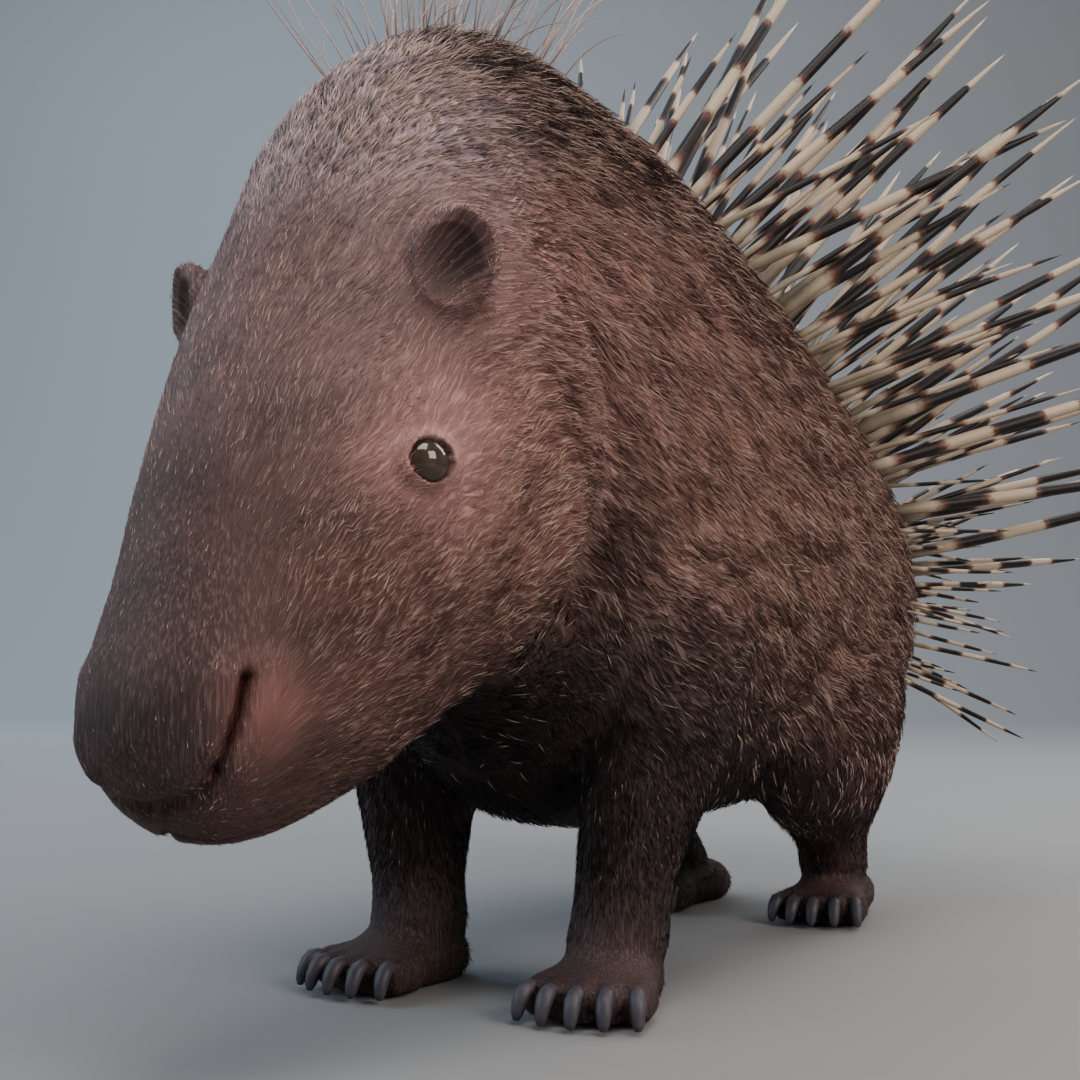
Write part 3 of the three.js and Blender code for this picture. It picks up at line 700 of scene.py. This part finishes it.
# Painted shade: dark rims round the eyes where the lids meet the balls, dark creases of the muzzle and dark
# ear hollows. The nostrils are red-brown inside.
EYE_FRONT, NOSE_HOLE = eye_at + eye_out * 5, NOSTRIL_LINE - [3, -2, 0]
CREASE_SHADE, NOSE_INSIDE = 0.55, np.array(colour(0.24, 0.10, 0.09))
skin_rgb *= (1 - CREASE_SHADE * hill(np.linalg.norm(skin_left - EYE_FRONT, axis=1) - 7.4, 1.5))[:, None]
inside_nose = hill(away_from_line(skin_left, NOSE_HOLE), 2.6)[:, None]
skin_rgb = skin_rgb * (1 - inside_nose) + NOSE_INSIDE * inside_nose
folds = np.minimum(away_from_line(skin_left, CREASE_LINE), away_from_line(skin_left, MOUTH_LINE))
skin_rgb *= (1 - CREASE_SHADE * hill(folds, 2.2))[:, None]
# Painted shade: the skin inside each ear's hollow is darkened
ear_gap = skin_left - ear_at
in_ear = np.hypot((ear_gap @ ear_back + 1) / EAR_WIDE, (ear_gap[:, 2] + 0.5) / EAR_HIGH) / 0.72
skin_rgb *= 1 - 0.7 * (np.clip(1.3 - in_ear, 0, 1) * (np.abs(ear_gap @ ear_face) < 12))[:, None]
paint(skin_data, skin_rgb, traits_at(skin_spots)[:, 3])
skin_flow = skin_data.attributes.new("flow", "FLOAT_VECTOR", "POINT")
skin_flow.data.foreach_set("vector", flow(skin_spots).ravel())
print("places", len(PLACES))


# %% [markdown]
# ## Materials
# Hair and skin are rough with a weak gloss, and both read the painted markings with the painted shade in
# them. Hair adds fine noise on Object coordinates, and skin adds streaks that follow the lie of the hair.
# Both stay put when the camera moves.

# %% Skin, hair, horn and eye
def shader(name, roughness, specular):
    """A new material, its nodes, its links and its surface."""
    material = bpy.data.materials.new(name)
    material.use_nodes = True
    nodes = material.node_tree.nodes
    surface = nodes["Principled BSDF"]
    put(surface, Roughness=roughness, Specular_IOR_Level=specular)
    return material, nodes, material.node_tree.links, surface


def markings(nodes):
    """The node that reads the painted markings and the painted shade in them."""
    marks = nodes.new("ShaderNodeVertexColor")
    marks.layer_name = "coat"
    return marks


def plain(nodes, red, green, blue):
    """One colour as a source for the nodes below."""
    source = nodes.new("ShaderNodeRGB")
    source.outputs["Color"].default_value = (*colour(red, green, blue), 1)
    return source.outputs["Color"]


def noise(nodes, links, scale, detail, stretch=(1, 1, 1)):
    """Noise on Object coordinates, stretched along an axis by a smaller number."""
    place = nodes.new("ShaderNodeTexCoord")
    squeeze = nodes.new("ShaderNodeMapping")
    put(squeeze, Scale=stretch)
    grain = nodes.new("ShaderNodeTexNoise")
    put(grain, Scale=scale, Detail=detail)
    links.new(place.outputs["Object"], squeeze.inputs["Vector"])
    links.new(squeeze.outputs["Vector"], grain.inputs["Vector"])
    return grain.outputs["Fac"]


def tinted(nodes, links, surface, source, factor, low, high):
    """The source colour, darkened and lightened by a factor between low and high."""
    ramp = nodes.new("ShaderNodeMapRange")
    put(ramp, To_Min=low, To_Max=high)
    links.new(factor, ramp.inputs["Value"])
    mix = nodes.new("ShaderNodeVectorMath")
    mix.operation = "SCALE"
    links.new(source, mix.inputs[0])
    links.new(ramp.outputs["Result"], mix.inputs["Scale"])
    links.new(mix.outputs["Vector"], surface.inputs["Base Color"])


def bumped(nodes, links, surface, height, strength, distance):
    """Small relief from a height."""
    bump = nodes.new("ShaderNodeBump")
    put(bump, Strength=strength, Distance=distance)
    links.new(height, bump.inputs["Height"])
    links.new(bump.outputs["Normal"], surface.inputs["Normal"])


def flowing(nodes, links, along, across):
    """Streaks that follow the lie of the hair: round the trunk from its flow, and down the legs."""
    run = nodes.new("ShaderNodeAttribute")
    run.attribute_name = "flow"
    squeeze = nodes.new("ShaderNodeMapping")
    put(squeeze, Scale=(along, across, 0))
    trunk_grain = nodes.new("ShaderNodeTexNoise")
    put(trunk_grain, Scale=1, Detail=3)
    links.new(run.outputs["Vector"], squeeze.inputs["Vector"])
    links.new(squeeze.outputs["Vector"], trunk_grain.inputs["Vector"])
    leg_grain = noise(nodes, links, 1000, 3, (across, across, along))
    split = nodes.new("ShaderNodeSeparateXYZ")
    mix = nodes.new("ShaderNodeMix")
    links.new(run.outputs["Vector"], split.inputs["Vector"])
    links.new(split.outputs["Z"], mix.inputs["Factor"])
    links.new(trunk_grain.outputs["Fac"], mix.inputs["A"])
    links.new(leg_grain, mix.inputs["B"])
    return mix.outputs["Result"]


skin_paint, nodes, links, surface = shader("skin_paint", 0.68, 0.25)
marks = markings(nodes)
streaks = flowing(nodes, links, 0.11, 1.25)
# Pale hairs are drawn where the streaks run high, and more of them where the place is paler
pick = nodes.new("ShaderNodeMapRange")
put(pick, From_Min=0.50, From_Max=0.66)
share = nodes.new("ShaderNodeMath")
share.operation = "MULTIPLY"
bleach = nodes.new("ShaderNodeMix")
bleach.data_type = "RGBA"
put(bleach, B=(*PALE, 1))
links.new(streaks, pick.inputs["Value"])
links.new(pick.outputs["Result"], share.inputs[0])
links.new(marks.outputs["Alpha"], share.inputs[1])
links.new(share.outputs["Value"], bleach.inputs["Factor"])
links.new(marks.outputs["Color"], bleach.inputs["A"])
tinted(nodes, links, surface, bleach.outputs["Result"], streaks, 0.25, 1.75)
bumped(nodes, links, surface, streaks, 0.5, 0.0014)

hair_paint, nodes, links, surface = shader("hair_paint", 0.52, 0.3)
tinted(nodes, links, surface, markings(nodes).outputs["Color"], noise(nodes, links, 900, 2), 0.75, 1.25)

claw_paint, nodes, links, surface = shader("claw_paint", 0.5, 0.35)
grain = noise(nodes, links, 300, 4, (1, 0.25, 1))
tinted(nodes, links, surface, plain(nodes, 0.235, 0.225, 0.25), grain, 0.45, 1.6)
bumped(nodes, links, surface, grain, 0.3, 0.0005)

eye_paint, nodes, links, surface = shader("eye_paint", 0.07, 0.4)
tinted(nodes, links, surface, plain(nodes, 0.25, 0.19, 0.14), noise(nodes, links, 260, 5), 0.1, 1.6)
put(surface, Coat_Weight=0.35, Coat_Roughness=0.02)


def shown(name, data, material, replaced=()):
    """A finished piece: named, painted, riding on the animal and standing for its nodes."""
    piece = placed(name, data)
    data.materials.clear()
    data.materials.append(material)
    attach(piece, "root")
    if replaced:
        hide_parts(*replaced)


LIMBS = [f"{end}_{part}_{side}" for end in ("front", "hind") for part in ("leg", "foot")
         for side in ("left", "right")]
SKIN_NODES = ["head", "neck", "chest", "torso", "tail", "ear_left", "ear_right", *LIMBS]
shown("skin", skin_data, skin_paint, SKIN_NODES)
print("skin stands for", len(SKIN_NODES), "nodes")

# %% [markdown]
# ## Eyes
# The eye is a glossy dark ball. It sits where the frame has its own ball, and is smoother.

# %% Eyeballs
EYE_PLAY = 0.2
for side, word in ((1, "left"), (-1, "right")):
    ball = bmesh.new()
    bmesh.ops.create_uvsphere(ball, u_segments=32, v_segments=20, radius=(EYE_RADIUS - EYE_PLAY) * MM)
    bmesh.ops.translate(ball, verts=ball.verts, vec=Vector((eye_at * [side, 1, 1] + SHIFT) * MM))
    for face in ball.faces:
        face.smooth = True
    ball_data = bpy.data.meshes.new(f"eyeball_{word}")
    ball.to_mesh(ball_data)
    ball.free()
    shown(f"eyeball_{word}", ball_data, eye_paint, [f"eye_{word}"])
print("eyes at", eye_at.round(1))

# %% [markdown]
# ## Claws
# Five blunt claws end each foot. Each is a short curved horn, bridged from circles that swell a
# little and then shrink towards the tip.

# %% Claws
# How far along a claw, and its radius there
CLAW_RADII = [(0, 2.2), (0.15, 3.0), (0.35, 3.5), (0.55, 3.5), (0.75, 3.1), (0.92, 2.4), (1.0, 1.2)]
CLAW_SIDES, CLAW_FLAT, CLAW_LEVEL = 10, 0.85, 0.2
claws = bmesh.new()
for root, crown, tip in claw_arches:
    angle = steps_round(CLAW_SIDES)
    rings = []
    for f, radius in CLAW_RADII:
        spot = root * (1 - f) ** 2 + crown * 2 * f * (1 - f) + tip * f ** 2
        way = (crown - root) * (1 - f) + (tip - crown) * f
        way /= np.linalg.norm(way)
        across = np.cross(way, [0.0, 1.0, 0.3])
        across /= np.linalg.norm(across)
        ring = (spot + across * np.cos(angle) * radius
                + np.cross(across, way) * np.sin(angle) * radius * CLAW_FLAT)
        ring[:, 2] = np.maximum(ring[:, 2], CLAW_LEVEL)
        rings.append(ring)
    lofted(claws, rings)
bmesh.ops.recalc_face_normals(claws, faces=claws.faces)
for face in claws.faces:
    face.smooth = True
claw_data = bpy.data.meshes.new("claws")
claws.to_mesh(claw_data)
claws.free()
shown("claws", claw_data, claw_paint)
print("claws", len(claw_arches))

# %% [markdown]
# ## The coat
# The fur is thousands of thin closed tufts. Each grows from a random spot of the skin, leans along the
# lie of the coat and ends in a point. Its unwrap patch lies where its root lies on the body, so that
# a picture baked for one tuft holds that tuft's own colour.

# %% The lie of the coat
TINY = 1e-9
# The unwrap: the trunk's share of the width, then one strip for each leg
TRUNK_SHARE, STRIP_FROM, STRIP_STEP, STRIP_WIDE = 0.72, 0.74, 0.065, 0.058
LEG_TOP, STRIP_TOP, UNWRAP_FILL = 100, 104, 0.99


def lie(spots, outs):
    """The way that hair points: back from the nose, down the sides and legs, forward on the feet."""
    where = nearest_on_spine(spots)
    rearward = spine[np.maximum(where - 8, 0)] - spine[np.minimum(where + 8, len(spine) - 1)]
    way = unit(rearward, TINY) + np.array([0, 0, -0.38]) * np.clip(np.abs(spots[:, :1]) / 80, 0, 1)
    leg = on_leg(spots)[:, None]
    way = way * (1 - leg) + np.array([0, 0.18, -1]) * leg
    nose = on_muzzle(spots)[:, None]
    way = way * (1 - nose) + np.array([0, 0.3, 1]) * nose
    foot = np.clip((26 - spots[:, 2:3]) / 14, 0, 1)
    way = way * (1 - foot) + np.array([0, -1, -0.25]) * foot
    way -= outs * np.sum(way * outs, axis=1)[:, None]
    return unit(way, TINY)


def unwrap(spots):
    """A place from 0 to 1 for each root: along and round the trunk, or down a leg in its own strip."""
    where = nearest_on_spine(spots)
    u = TRUNK_SHARE * where / len(spine)
    v = np.arctan2(spots[:, 2] - spine[where, 2], spots[:, 0]) / FULL_TURN + 0.5
    leg = (spots[:, 2] < LEG_TOP) & (np.abs(spots[:, 0]) > 20) & (spots[:, 1] > 0)
    hind, right = spots[:, 1] > 160, spots[:, 0] < 0
    middle = np.where(hind[:, None], [50, 300], [50, 58])
    turn = np.arctan2(spots[:, 1] - middle[:, 1], np.abs(spots[:, 0]) - middle[:, 0]) / FULL_TURN + 0.5
    strip = STRIP_FROM + STRIP_STEP * (hind * 2 + right)
    return UNWRAP_FILL * np.column_stack([np.where(leg, strip + STRIP_WIDE * turn, u),
                                          np.where(leg, spots[:, 2] / STRIP_TOP, v)])


print("the eye unwraps to", unwrap(eye_at[None])[0].round(3))


# %% Roots on the skin
rng = np.random.default_rng(7)
corners = np.empty(len(skin_data.polygons) * 3, int)
skin_data.polygons.foreach_get("vertices", corners)
corner_a, corner_b, corner_c = (skin_spots[corners[k::3]] for k in range(3))
slab = np.cross(corner_b - corner_a, corner_c - corner_a)
area, face_out = np.linalg.norm(slab, axis=1) / 2, unit(slab, 1e-12)
face_mid = (corner_a + corner_b + corner_c) / 3
face_left, face_mix = left_side(face_mid), traits_at(face_mid)
# No hair grows on the eyes, in the nostrils or under the soles
EYE_BARE, NOSE_BARE, SOLE_BARE = 9.6, 2.8, 1.2
bare = np.linalg.norm(face_left - EYE_FRONT, axis=1) < EYE_BARE
bare |= (away_from_line(face_left, NOSE_HOLE) < NOSE_BARE) | (face_mid[:, 2] < SOLE_BARE)


def sown(count, wanted):
    """Random roots on the skin, crowded where its places say so: their spots and outward ways."""
    chance = area * face_mix[:, 7] ** 2 * (wanted & ~bare)
    picked = rng.choice(len(area), count, p=chance / chance.sum())
    f, g = rng.random((2, count))
    over = f + g > 1
    f[over], g[over] = 1 - f[over], 1 - g[over]
    root = (corner_a[picked] + (corner_b - corner_a)[picked] * f[:, None]
            + (corner_c - corner_a)[picked] * g[:, None])
    return root, face_out[picked]


print("hairy skin", round(area[~bare].sum() * MM * MM, 3), "square metres")


# %% Spikes from arrays
def mesh_from_arrays(name, spots, triangles, rgb, uv_per_corner):
    """A mesh from arrays, with its markings and any painted shade in them, and its unwrap."""
    data = bpy.data.meshes.new(name)
    data.vertices.add(len(spots))
    data.vertices.foreach_set("co", ((spots + SHIFT) * MM).astype(np.float32).ravel())
    data.loops.add(triangles.size)
    data.loops.foreach_set("vertex_index", triangles.ravel())
    data.polygons.add(len(triangles))
    data.polygons.foreach_set("loop_start", np.arange(0, triangles.size, 3))
    data.polygons.foreach_set("use_smooth", np.ones(len(triangles), bool))
    data.update(calc_edges=True)
    paint(data, rgb)
    data.uv_layers.new(name="OFBake").data.foreach_set("uv", uv_per_corner.astype(np.float32).ravel())
    return data


def spikes(paths, widths, sides, flat=1.0):
    """Closed tapering spikes along paths: all points and triangles, and how many points and which
    triangles a single spike has."""
    count, joints = paths.shape[:2]
    way = unit(paths[:, -1] - paths[:, 0])
    across = unit(np.cross(way, np.array([0.13, 0.21, 0.97])), TINY)
    lift = np.cross(across, way)
    angle = np.arange(sides) / sides * FULL_TURN
    cosine, sine = np.cos(angle)[:, None], np.sin(angle)[:, None]
    rim = across[:, None, None] * cosine + flat * lift[:, None, None] * sine
    rings = paths[:, :-1, None, :] + rim * widths[:, :-1, None, None] / 2
    spots = np.concatenate([rings.reshape(count, -1, 3), paths[:, -1:]], axis=1)
    each, last = spots.shape[1], (joints - 1) * sides
    faces = [[0, k + 1, k] for k in range(1, sides - 1)]
    for ring in range(joints - 2):
        for k in range(sides):
            low, high = ring * sides, (ring + 1) * sides
            k2 = (k + 1) % sides
            faces += [[low + k, low + k2, high + k2], [low + k, high + k2, high + k]]
    top = (joints - 2) * sides
    faces += [[top + k, top + (k + 1) % sides, last] for k in range(sides)]
    faces = np.array(faces)
    return spots.reshape(-1, 3), (np.arange(count)[:, None, None] * each + faces).reshape(-1, 3), each, faces


def spike_places(fs, sides):
    """How far along and how far round its spike each point lies, from 0 to 1."""
    along = np.append(np.repeat(fs[:-1], sides), 1.0)
    return along, np.append(np.tile(np.arange(sides) / sides, len(fs) - 1), 0.5)


print("triangles of a bent tuft", len(spikes(np.eye(3)[None], np.ones((1, 3)), 3)[3]))


# %% Tufts of fur
SHORT_HAIR = 7.0
TUFT_SIDES, TUFT_FLAT, TUFT_LEVEL, TUFT_PATCH, ROOT_DEPTH = 3, 0.6, 0.3, 0.003, 0.5


def grow_coat(name, count, wanted, bends, per_piece):
    """Tufts of one kind: short straight ones, or longer ones that bend back to the body."""
    roots, outs = sown(count, wanted)
    mix = traits_at(roots)
    way = lie(roots, outs)
    swirl = 0.7 * (blotch(roots, 11, 21) - 0.5) + rng.normal(0, 0.20, count)
    way = unit(way + np.cross(outs, way) * swirl[:, None])
    length = mix[:, 4] * rng.uniform(0.65, 1.35, count)
    rise = np.radians(mix[:, 6] * rng.uniform(0.5, 1.5, count))
    bow = way * np.cos(rise)[:, None] + outs * np.sin(rise)[:, None]
    start, hump = roots - outs * ROOT_DEPTH, outs * (length * np.sin(rise))[:, None]
    joints = [start]
    if bends:
        joints.append(start + bow * (length * 0.5)[:, None] + hump * 0.10)
    joints.append(start + bow * length[:, None] - hump * (0.22 if bends else 0))
    paths = np.stack(joints, axis=1)
    paths[:, :, 2] = np.maximum(paths[:, :, 2], TUFT_LEVEL)
    thick = mix[:, 5] * rng.uniform(0.75, 1.25, count)
    widths = np.stack([thick * 1.15, thick * 0.85, thick * 0] if bends else [thick * 1.1, thick * 0], axis=1)
    base = skin_colour(roots)
    run = flow(roots) * [0.16, 1, 0]
    locks = np.clip(0.7 * blotch(run, 5, 61) + 0.5 * blotch(roots, 12, 33) - 0.1, 0, 1)
    is_pale = rng.random(count) < mix[:, 3] * (0.15 + 1.7 * locks)
    rgb = base * (rng.uniform(0.55, 1.45, count) * (0.65 + 0.7 * locks))[:, None]
    rgb[is_pale] = base[is_pale] * 0.35 + PALE * rng.uniform(0.45, 0.95, is_pale.sum())[:, None]
    root_uv = unwrap(roots)
    # Painted shade and light: each tuft is darker at its root, deep in the coat, and lighter at its tip
    painted_depth_shade = np.array([0.6] * 3 + [1.0] * 3 + [1.25] if bends else [0.75] * 3 + [1.2])
    patch = [[0, 0], [1, 0], [0.5, 1]]
    patch += [[0.2, 0.1], [0.8, 0.1], [0.5, 0.8], [0.5, 0.4]] if bends else [[0.5, 0.4]]
    for number, first in enumerate(range(0, count, per_piece)):
        part = slice(first, min(first + per_piece, count))
        spots, triangles, each, faces = spikes(paths[part], widths[part], TUFT_SIDES, TUFT_FLAT)
        per_point = np.repeat(rgb[part], each, axis=0) * np.tile(painted_depth_shade, part.stop - part.start)[:, None]
        local = TUFT_PATCH * np.array(patch)[faces.ravel()]
        corner_uv = (root_uv[part][:, None] + local[None]).reshape(-1, 2)
        data = mesh_from_arrays(f"{name}_{number}", spots, triangles, np.clip(per_point, 0, 1), corner_uv)
        shown(f"{name}_{number}", data, hair_paint)
    print(name, "tufts", count)


FACE_TUFTS, BODY_TUFTS, FACE_PER_PIECE, BODY_PER_PIECE = 118_000, 86_000, 45_000, 19_000
few, short_haired = (1.0), face_mix[:, 4] < SHORT_HAIR
grow_coat("face_coat", int(FACE_TUFTS * few), short_haired, False, FACE_PER_PIECE)
grow_coat("body_coat", int(BODY_TUFTS * few), ~short_haired, True, BODY_PER_PIECE)

# %% [markdown]
# ## Quills
# The great quills stand on the back half in rows, longest in the middle of the back. A quill is
# smooth horn, cream with dark bands and a cream tip. Each has its own cell of the unwrap, so that its
# bands can be baked.

# %% Banded horn
quill_paint, nodes, links, surface = shader("quill_paint", 0.48, 0.25)
strip = nodes.new("ShaderNodeUVMap")
strip.uv_map = "Bands"
split = nodes.new("ShaderNodeSeparateXYZ")
bands = nodes.new("ShaderNodeValToRGB")
grain = noise(nodes, links, 500, 3)
wobble = nodes.new("ShaderNodeMath")
wobble.operation = "MULTIPLY_ADD"
wobble.inputs[1].default_value = 0.03
links.new(strip.outputs["UV"], split.inputs["Vector"])
links.new(grain, wobble.inputs[0])
links.new(split.outputs["X"], wobble.inputs[2])
links.new(wobble.outputs["Value"], bands.inputs["Fac"])
HORN = (*colour(0.50, 0.45, 0.38), 1)
CREAM = (*colour(0.70, 0.63, 0.54), 1)
RUST = (*colour(0.34, 0.20, 0.15), 1)
BLACK = (*colour(0.085, 0.055, 0.045), 1)
BAND_STOPS = [
    (0, HORN), (0.07, HORN), (0.13, CREAM), (0.16, RUST), (0.18, BLACK), (0.27, BLACK), (0.29, RUST),
    (0.31, CREAM), (0.43, CREAM), (0.445, RUST), (0.46, BLACK), (0.58, BLACK), (0.595, RUST),
    (0.61, CREAM), (0.70, CREAM), (0.715, RUST), (0.73, BLACK), (0.84, BLACK), (0.855, CREAM), (1.0, CREAM),
]
ramp = bands.color_ramp
for spot, shade in BAND_STOPS[2:]:
    ramp.elements.new(spot)
for element, (spot, shade) in zip(ramp.elements, BAND_STOPS):
    element.position, element.color = spot, shade
links.new(bands.outputs["Color"], surface.inputs["Base Color"])
bumped(nodes, links, surface, grain, 0.12, 0.0004)
print("band stops", len(BAND_STOPS))

# %% Rows of quills
QUILL_ROWS, QUILL_GAP, SHORT_SHARE = 17, 20.5, 0.38
SHORT_ROWS, SHORT_GAP, RUMP_QUILLS = 14, 27, 90
QUILL_THICK, QUILL_SIDES, QUILL_JOINTS, QUILL_BEND = 6.4, 8, 9, 0.02
QUILL_DEPTH, CELL_COLUMNS = 7, 40
LONGEST, SHORTEST = 285, 95
RUMP_T, SHOULDER_T = 0.035, 0.335
LOWEST, LOWEST_DROP, TAIL_HALF, TAIL_TOP = 188, 80, 34, 212
SIDE_REACH = min(-cad_box[0][0], cad_box[1][0]) / MM
# The quills have their own draws, so they stay the same with any number of tufts
rng = np.random.default_rng(11)


def planted(rows, gap, short_share):
    """Places, ways and lengths of quills, in rows from the shoulders to the rump."""
    grown = []
    for row in range(rows):
        front = row / (rows - 1)
        t, rear = RUMP_T + (SHOULDER_T - RUMP_T) * front, 1 - front
        reach = 0.125 + 0.12 * min(1, rear * 1.25)
        arc = trunk_surface(np.full(24, t), np.linspace(0.25 - reach, 0.25 + reach, 24))
        count = max(2, round(np.linalg.norm(np.diff(arc, axis=0), axis=1).sum() / gap))
        middle = math.sin(math.pi * min(1, 0.3 + 0.62 * rear)) ** 0.8
        for i in range(count):
            across = ((i + (0.75 if row % 2 else 0.25)) / count) * 2 - 1 + rng.normal(0, 0.03)
            t_here, step = t + rng.normal(0, 0.002), 0.25 + across * reach
            spot = trunk_surface(t_here, step)[0]
            on_tail = abs(spot[0]) < TAIL_HALF and spot[2] < TAIL_TOP
            if on_tail or spot[2] < LOWEST - LOWEST_DROP * rear ** 3:
                continue
            out = trunk_outward(t_here, step)[0]
            heading = out + np.array([0, 1, 0.1]) * (0.36 + 0.62 * rear) + rng.uniform(-0.15, 0.15, 3)
            heading /= np.linalg.norm(heading)
            full = SHORTEST + (LONGEST - SHORTEST) * middle * (1 - 0.34 * min(1, abs(across)) ** 1.6)
            full *= 1 - 0.5 * max(0, 1 - (spot[2] - 108) / 90)
            short = rng.random() < short_share
            full *= rng.uniform(0.36, 0.62) if short else rng.uniform(0.84, 1)
            # No quill reaches past the sides of the frame's box
            full = min(full, (SIDE_REACH - abs(spot[0])) / max(abs(heading[0]), 0.01))
            grown.append((spot, heading, full, short))
    return grown


def scattered(count):
    """Short quills low on both sides of the rump, below the rows."""
    grown = []
    for k in range(count):
        t, step = rng.uniform(0.045, 0.2), rng.uniform(-0.07, 0.09)
        spot, out = trunk_surface(t, step)[0], trunk_outward(t, step)[0]
        heading = out * 0.8 + np.array([0, 0.9, -0.12]) + rng.uniform(-0.18, 0.18, 3)
        side = np.array([1 if k % 2 else -1, 1, 1])
        grown.append((spot * side, heading / np.linalg.norm(heading) * side, rng.uniform(38, 92), True))
    return grown


def quill_mesh(name, grown, thick, sides, joints, bend):
    """Quills as spindles with their own bands, for a list of places, ways, lengths and kinds."""
    count = len(grown)
    spot, heading, long, short = (np.array(column) for column in zip(*grown))
    fs = np.concatenate([[0], np.linspace(0.06, 0.94, joints - 2), [1.0]])
    sag = rng.normal(0, bend, (count, 3)) * long[:, None]
    sag -= heading * np.sum(sag * heading, axis=1)[:, None]
    reach = (long + QUILL_DEPTH)[:, None, None]
    paths = (spot - heading * QUILL_DEPTH)[:, None] + heading[:, None] * (fs[None, :, None] * reach)
    paths += sag[:, None] * (fs ** 2)[None, :, None]
    form = np.interp(fs, [0, 0.08, 0.35, 0.7, 0.9, 1], [0.82, 0.96, 1.0, 0.86, 0.52, 0.0])
    # Short quills are thin ones
    each_thick = thick * np.interp(long, [60, 110, 190], [0.34, 0.5, 1.0]) * rng.uniform(0.85, 1.1, count)
    points, triangles, each, faces = spikes(paths, each_thick[:, None] * form, sides)
    along, around = spike_places(fs, sides)
    cell = np.array([1 / CELL_COLUMNS, 1 / math.ceil(count / CELL_COLUMNS)])
    home = np.column_stack([np.arange(count) % CELL_COLUMNS, np.arange(count) // CELL_COLUMNS]) * cell
    local = np.column_stack([0.08 + 0.84 * around, 0.04 + 0.92 * along]) * cell
    data = mesh_from_arrays(name, points, triangles, np.full((len(points), 3), 0.5),
                            (home[:, None] + local[faces.ravel()][None]).reshape(-1, 2))
    offset = rng.uniform(-0.10, 0.06, count)
    squeeze = np.where(short, 0.8, 1.0) * rng.uniform(0.88, 1.06, count)
    band = np.clip(along[faces.ravel()][None] * squeeze[:, None] + offset[:, None], 0, 1)
    band_uv = np.stack([band, np.full_like(band, 0.5)], axis=-1).astype(np.float32)
    data.uv_layers.new(name="Bands").data.foreach_set("uv", band_uv.ravel())
    return data


grown = planted(QUILL_ROWS, QUILL_GAP, SHORT_SHARE) + planted(SHORT_ROWS, SHORT_GAP, 1.0)
grown += scattered(RUMP_QUILLS)
quill_data = quill_mesh("quills", grown, QUILL_THICK, QUILL_SIDES, QUILL_JOINTS, QUILL_BEND)
shown("quills", quill_data, quill_paint)
print("quills", len(grown))

# %% [markdown]
# ## Tail and crest
# The tail bears short quills of the same make. The crest is long thin bristles from the nape, which
# rise and bend back.

# %% Tail quills
TAIL_QUILLS, TAIL_THICK, TAIL_SIDES, TAIL_JOINTS, TAIL_DEPTH = 150, 7.0, 6, 6, 4
tail_grown = []
for _ in range(TAIL_QUILLS):
    f, turn = rng.uniform(0.15, 0.97), rng.uniform(0, FULL_TURN)
    x, y, z, wide, deep = through(TAIL, f)[0]
    out = np.array([math.cos(turn), 0, math.sin(turn)])
    spot = np.array([x, y, z]) + out * [wide - TAIL_DEPTH, 0, deep - TAIL_DEPTH]
    heading = out * 0.42 + np.array([0, 1, -0.12])
    tail_grown.append((spot, heading / np.linalg.norm(heading), rng.uniform(30, 50), True))
tail_data = quill_mesh("tail_quills", tail_grown, TAIL_THICK, TAIL_SIDES, TAIL_JOINTS, QUILL_BEND)
shown("tail_quills", tail_data, quill_paint)
print("tail quills", len(tail_grown))

# %% Crest bristles
bristle_paint, nodes, links, surface = shader("bristle_paint", 0.45, 0.4)
straw = markings(nodes).outputs["Color"]
tinted(nodes, links, surface, straw, noise(nodes, links, 120, 2), 0.7, 1.25)
CREST_COUNT, CREST_SIDES, CREST_JOINTS, CREST_DEPTH = 105, 5, 9, 5


def bristles(count, sides, joints):
    """Bristles of the nape, some short and most long, each bending back more and more."""
    t = 0.43 + 0.115 * rng.random(count)
    step = 0.25 + np.clip(rng.normal(0, 0.04, count), -0.08, 0.08)
    spot, out = trunk_surface(t, step, CREST_DEPTH), trunk_outward(t, step)
    long = np.where(rng.random(count) < 0.4, rng.uniform(30, 70, count), rng.uniform(90, 170, count))
    heading = unit(out + np.array([0, 0.30, 0.42]) + rng.normal(0, 0.10, (count, 3)))
    bend = np.column_stack([rng.normal(0, 0.14, count), rng.uniform(0.15, 0.75, count),
                            -rng.uniform(0.02, 0.40, count)])
    fs, full = np.linspace(0, 1, joints), long[:, None, None]
    paths = spot[:, None] + heading[:, None] * (fs[None, :, None] * full)
    paths += bend[:, None] * (fs ** 2.2)[None, :, None] * full
    widths = np.interp(fs, [0, 0.5, 1], [1.0, 0.75, 0.0])[None] * rng.uniform(0.45, 0.85, count)[:, None]
    points, triangles, each, faces = spikes(paths, widths, sides)
    tone = np.array(colour(0.74, 0.63, 0.58)) * rng.uniform(0.3, 1.0, count)[:, None]
    along, around = spike_places(fs, sides)
    local = np.column_stack([around, along]) * TUFT_PATCH
    return mesh_from_arrays("crest", points, triangles, np.repeat(tone, each, axis=0),
                            (unwrap(spot)[:, None] + local[faces.ravel()][None]).reshape(-1, 2))


shown("crest", bristles(CREST_COUNT, CREST_SIDES, CREST_JOINTS), bristle_paint)
print("crest bristles", CREST_COUNT)
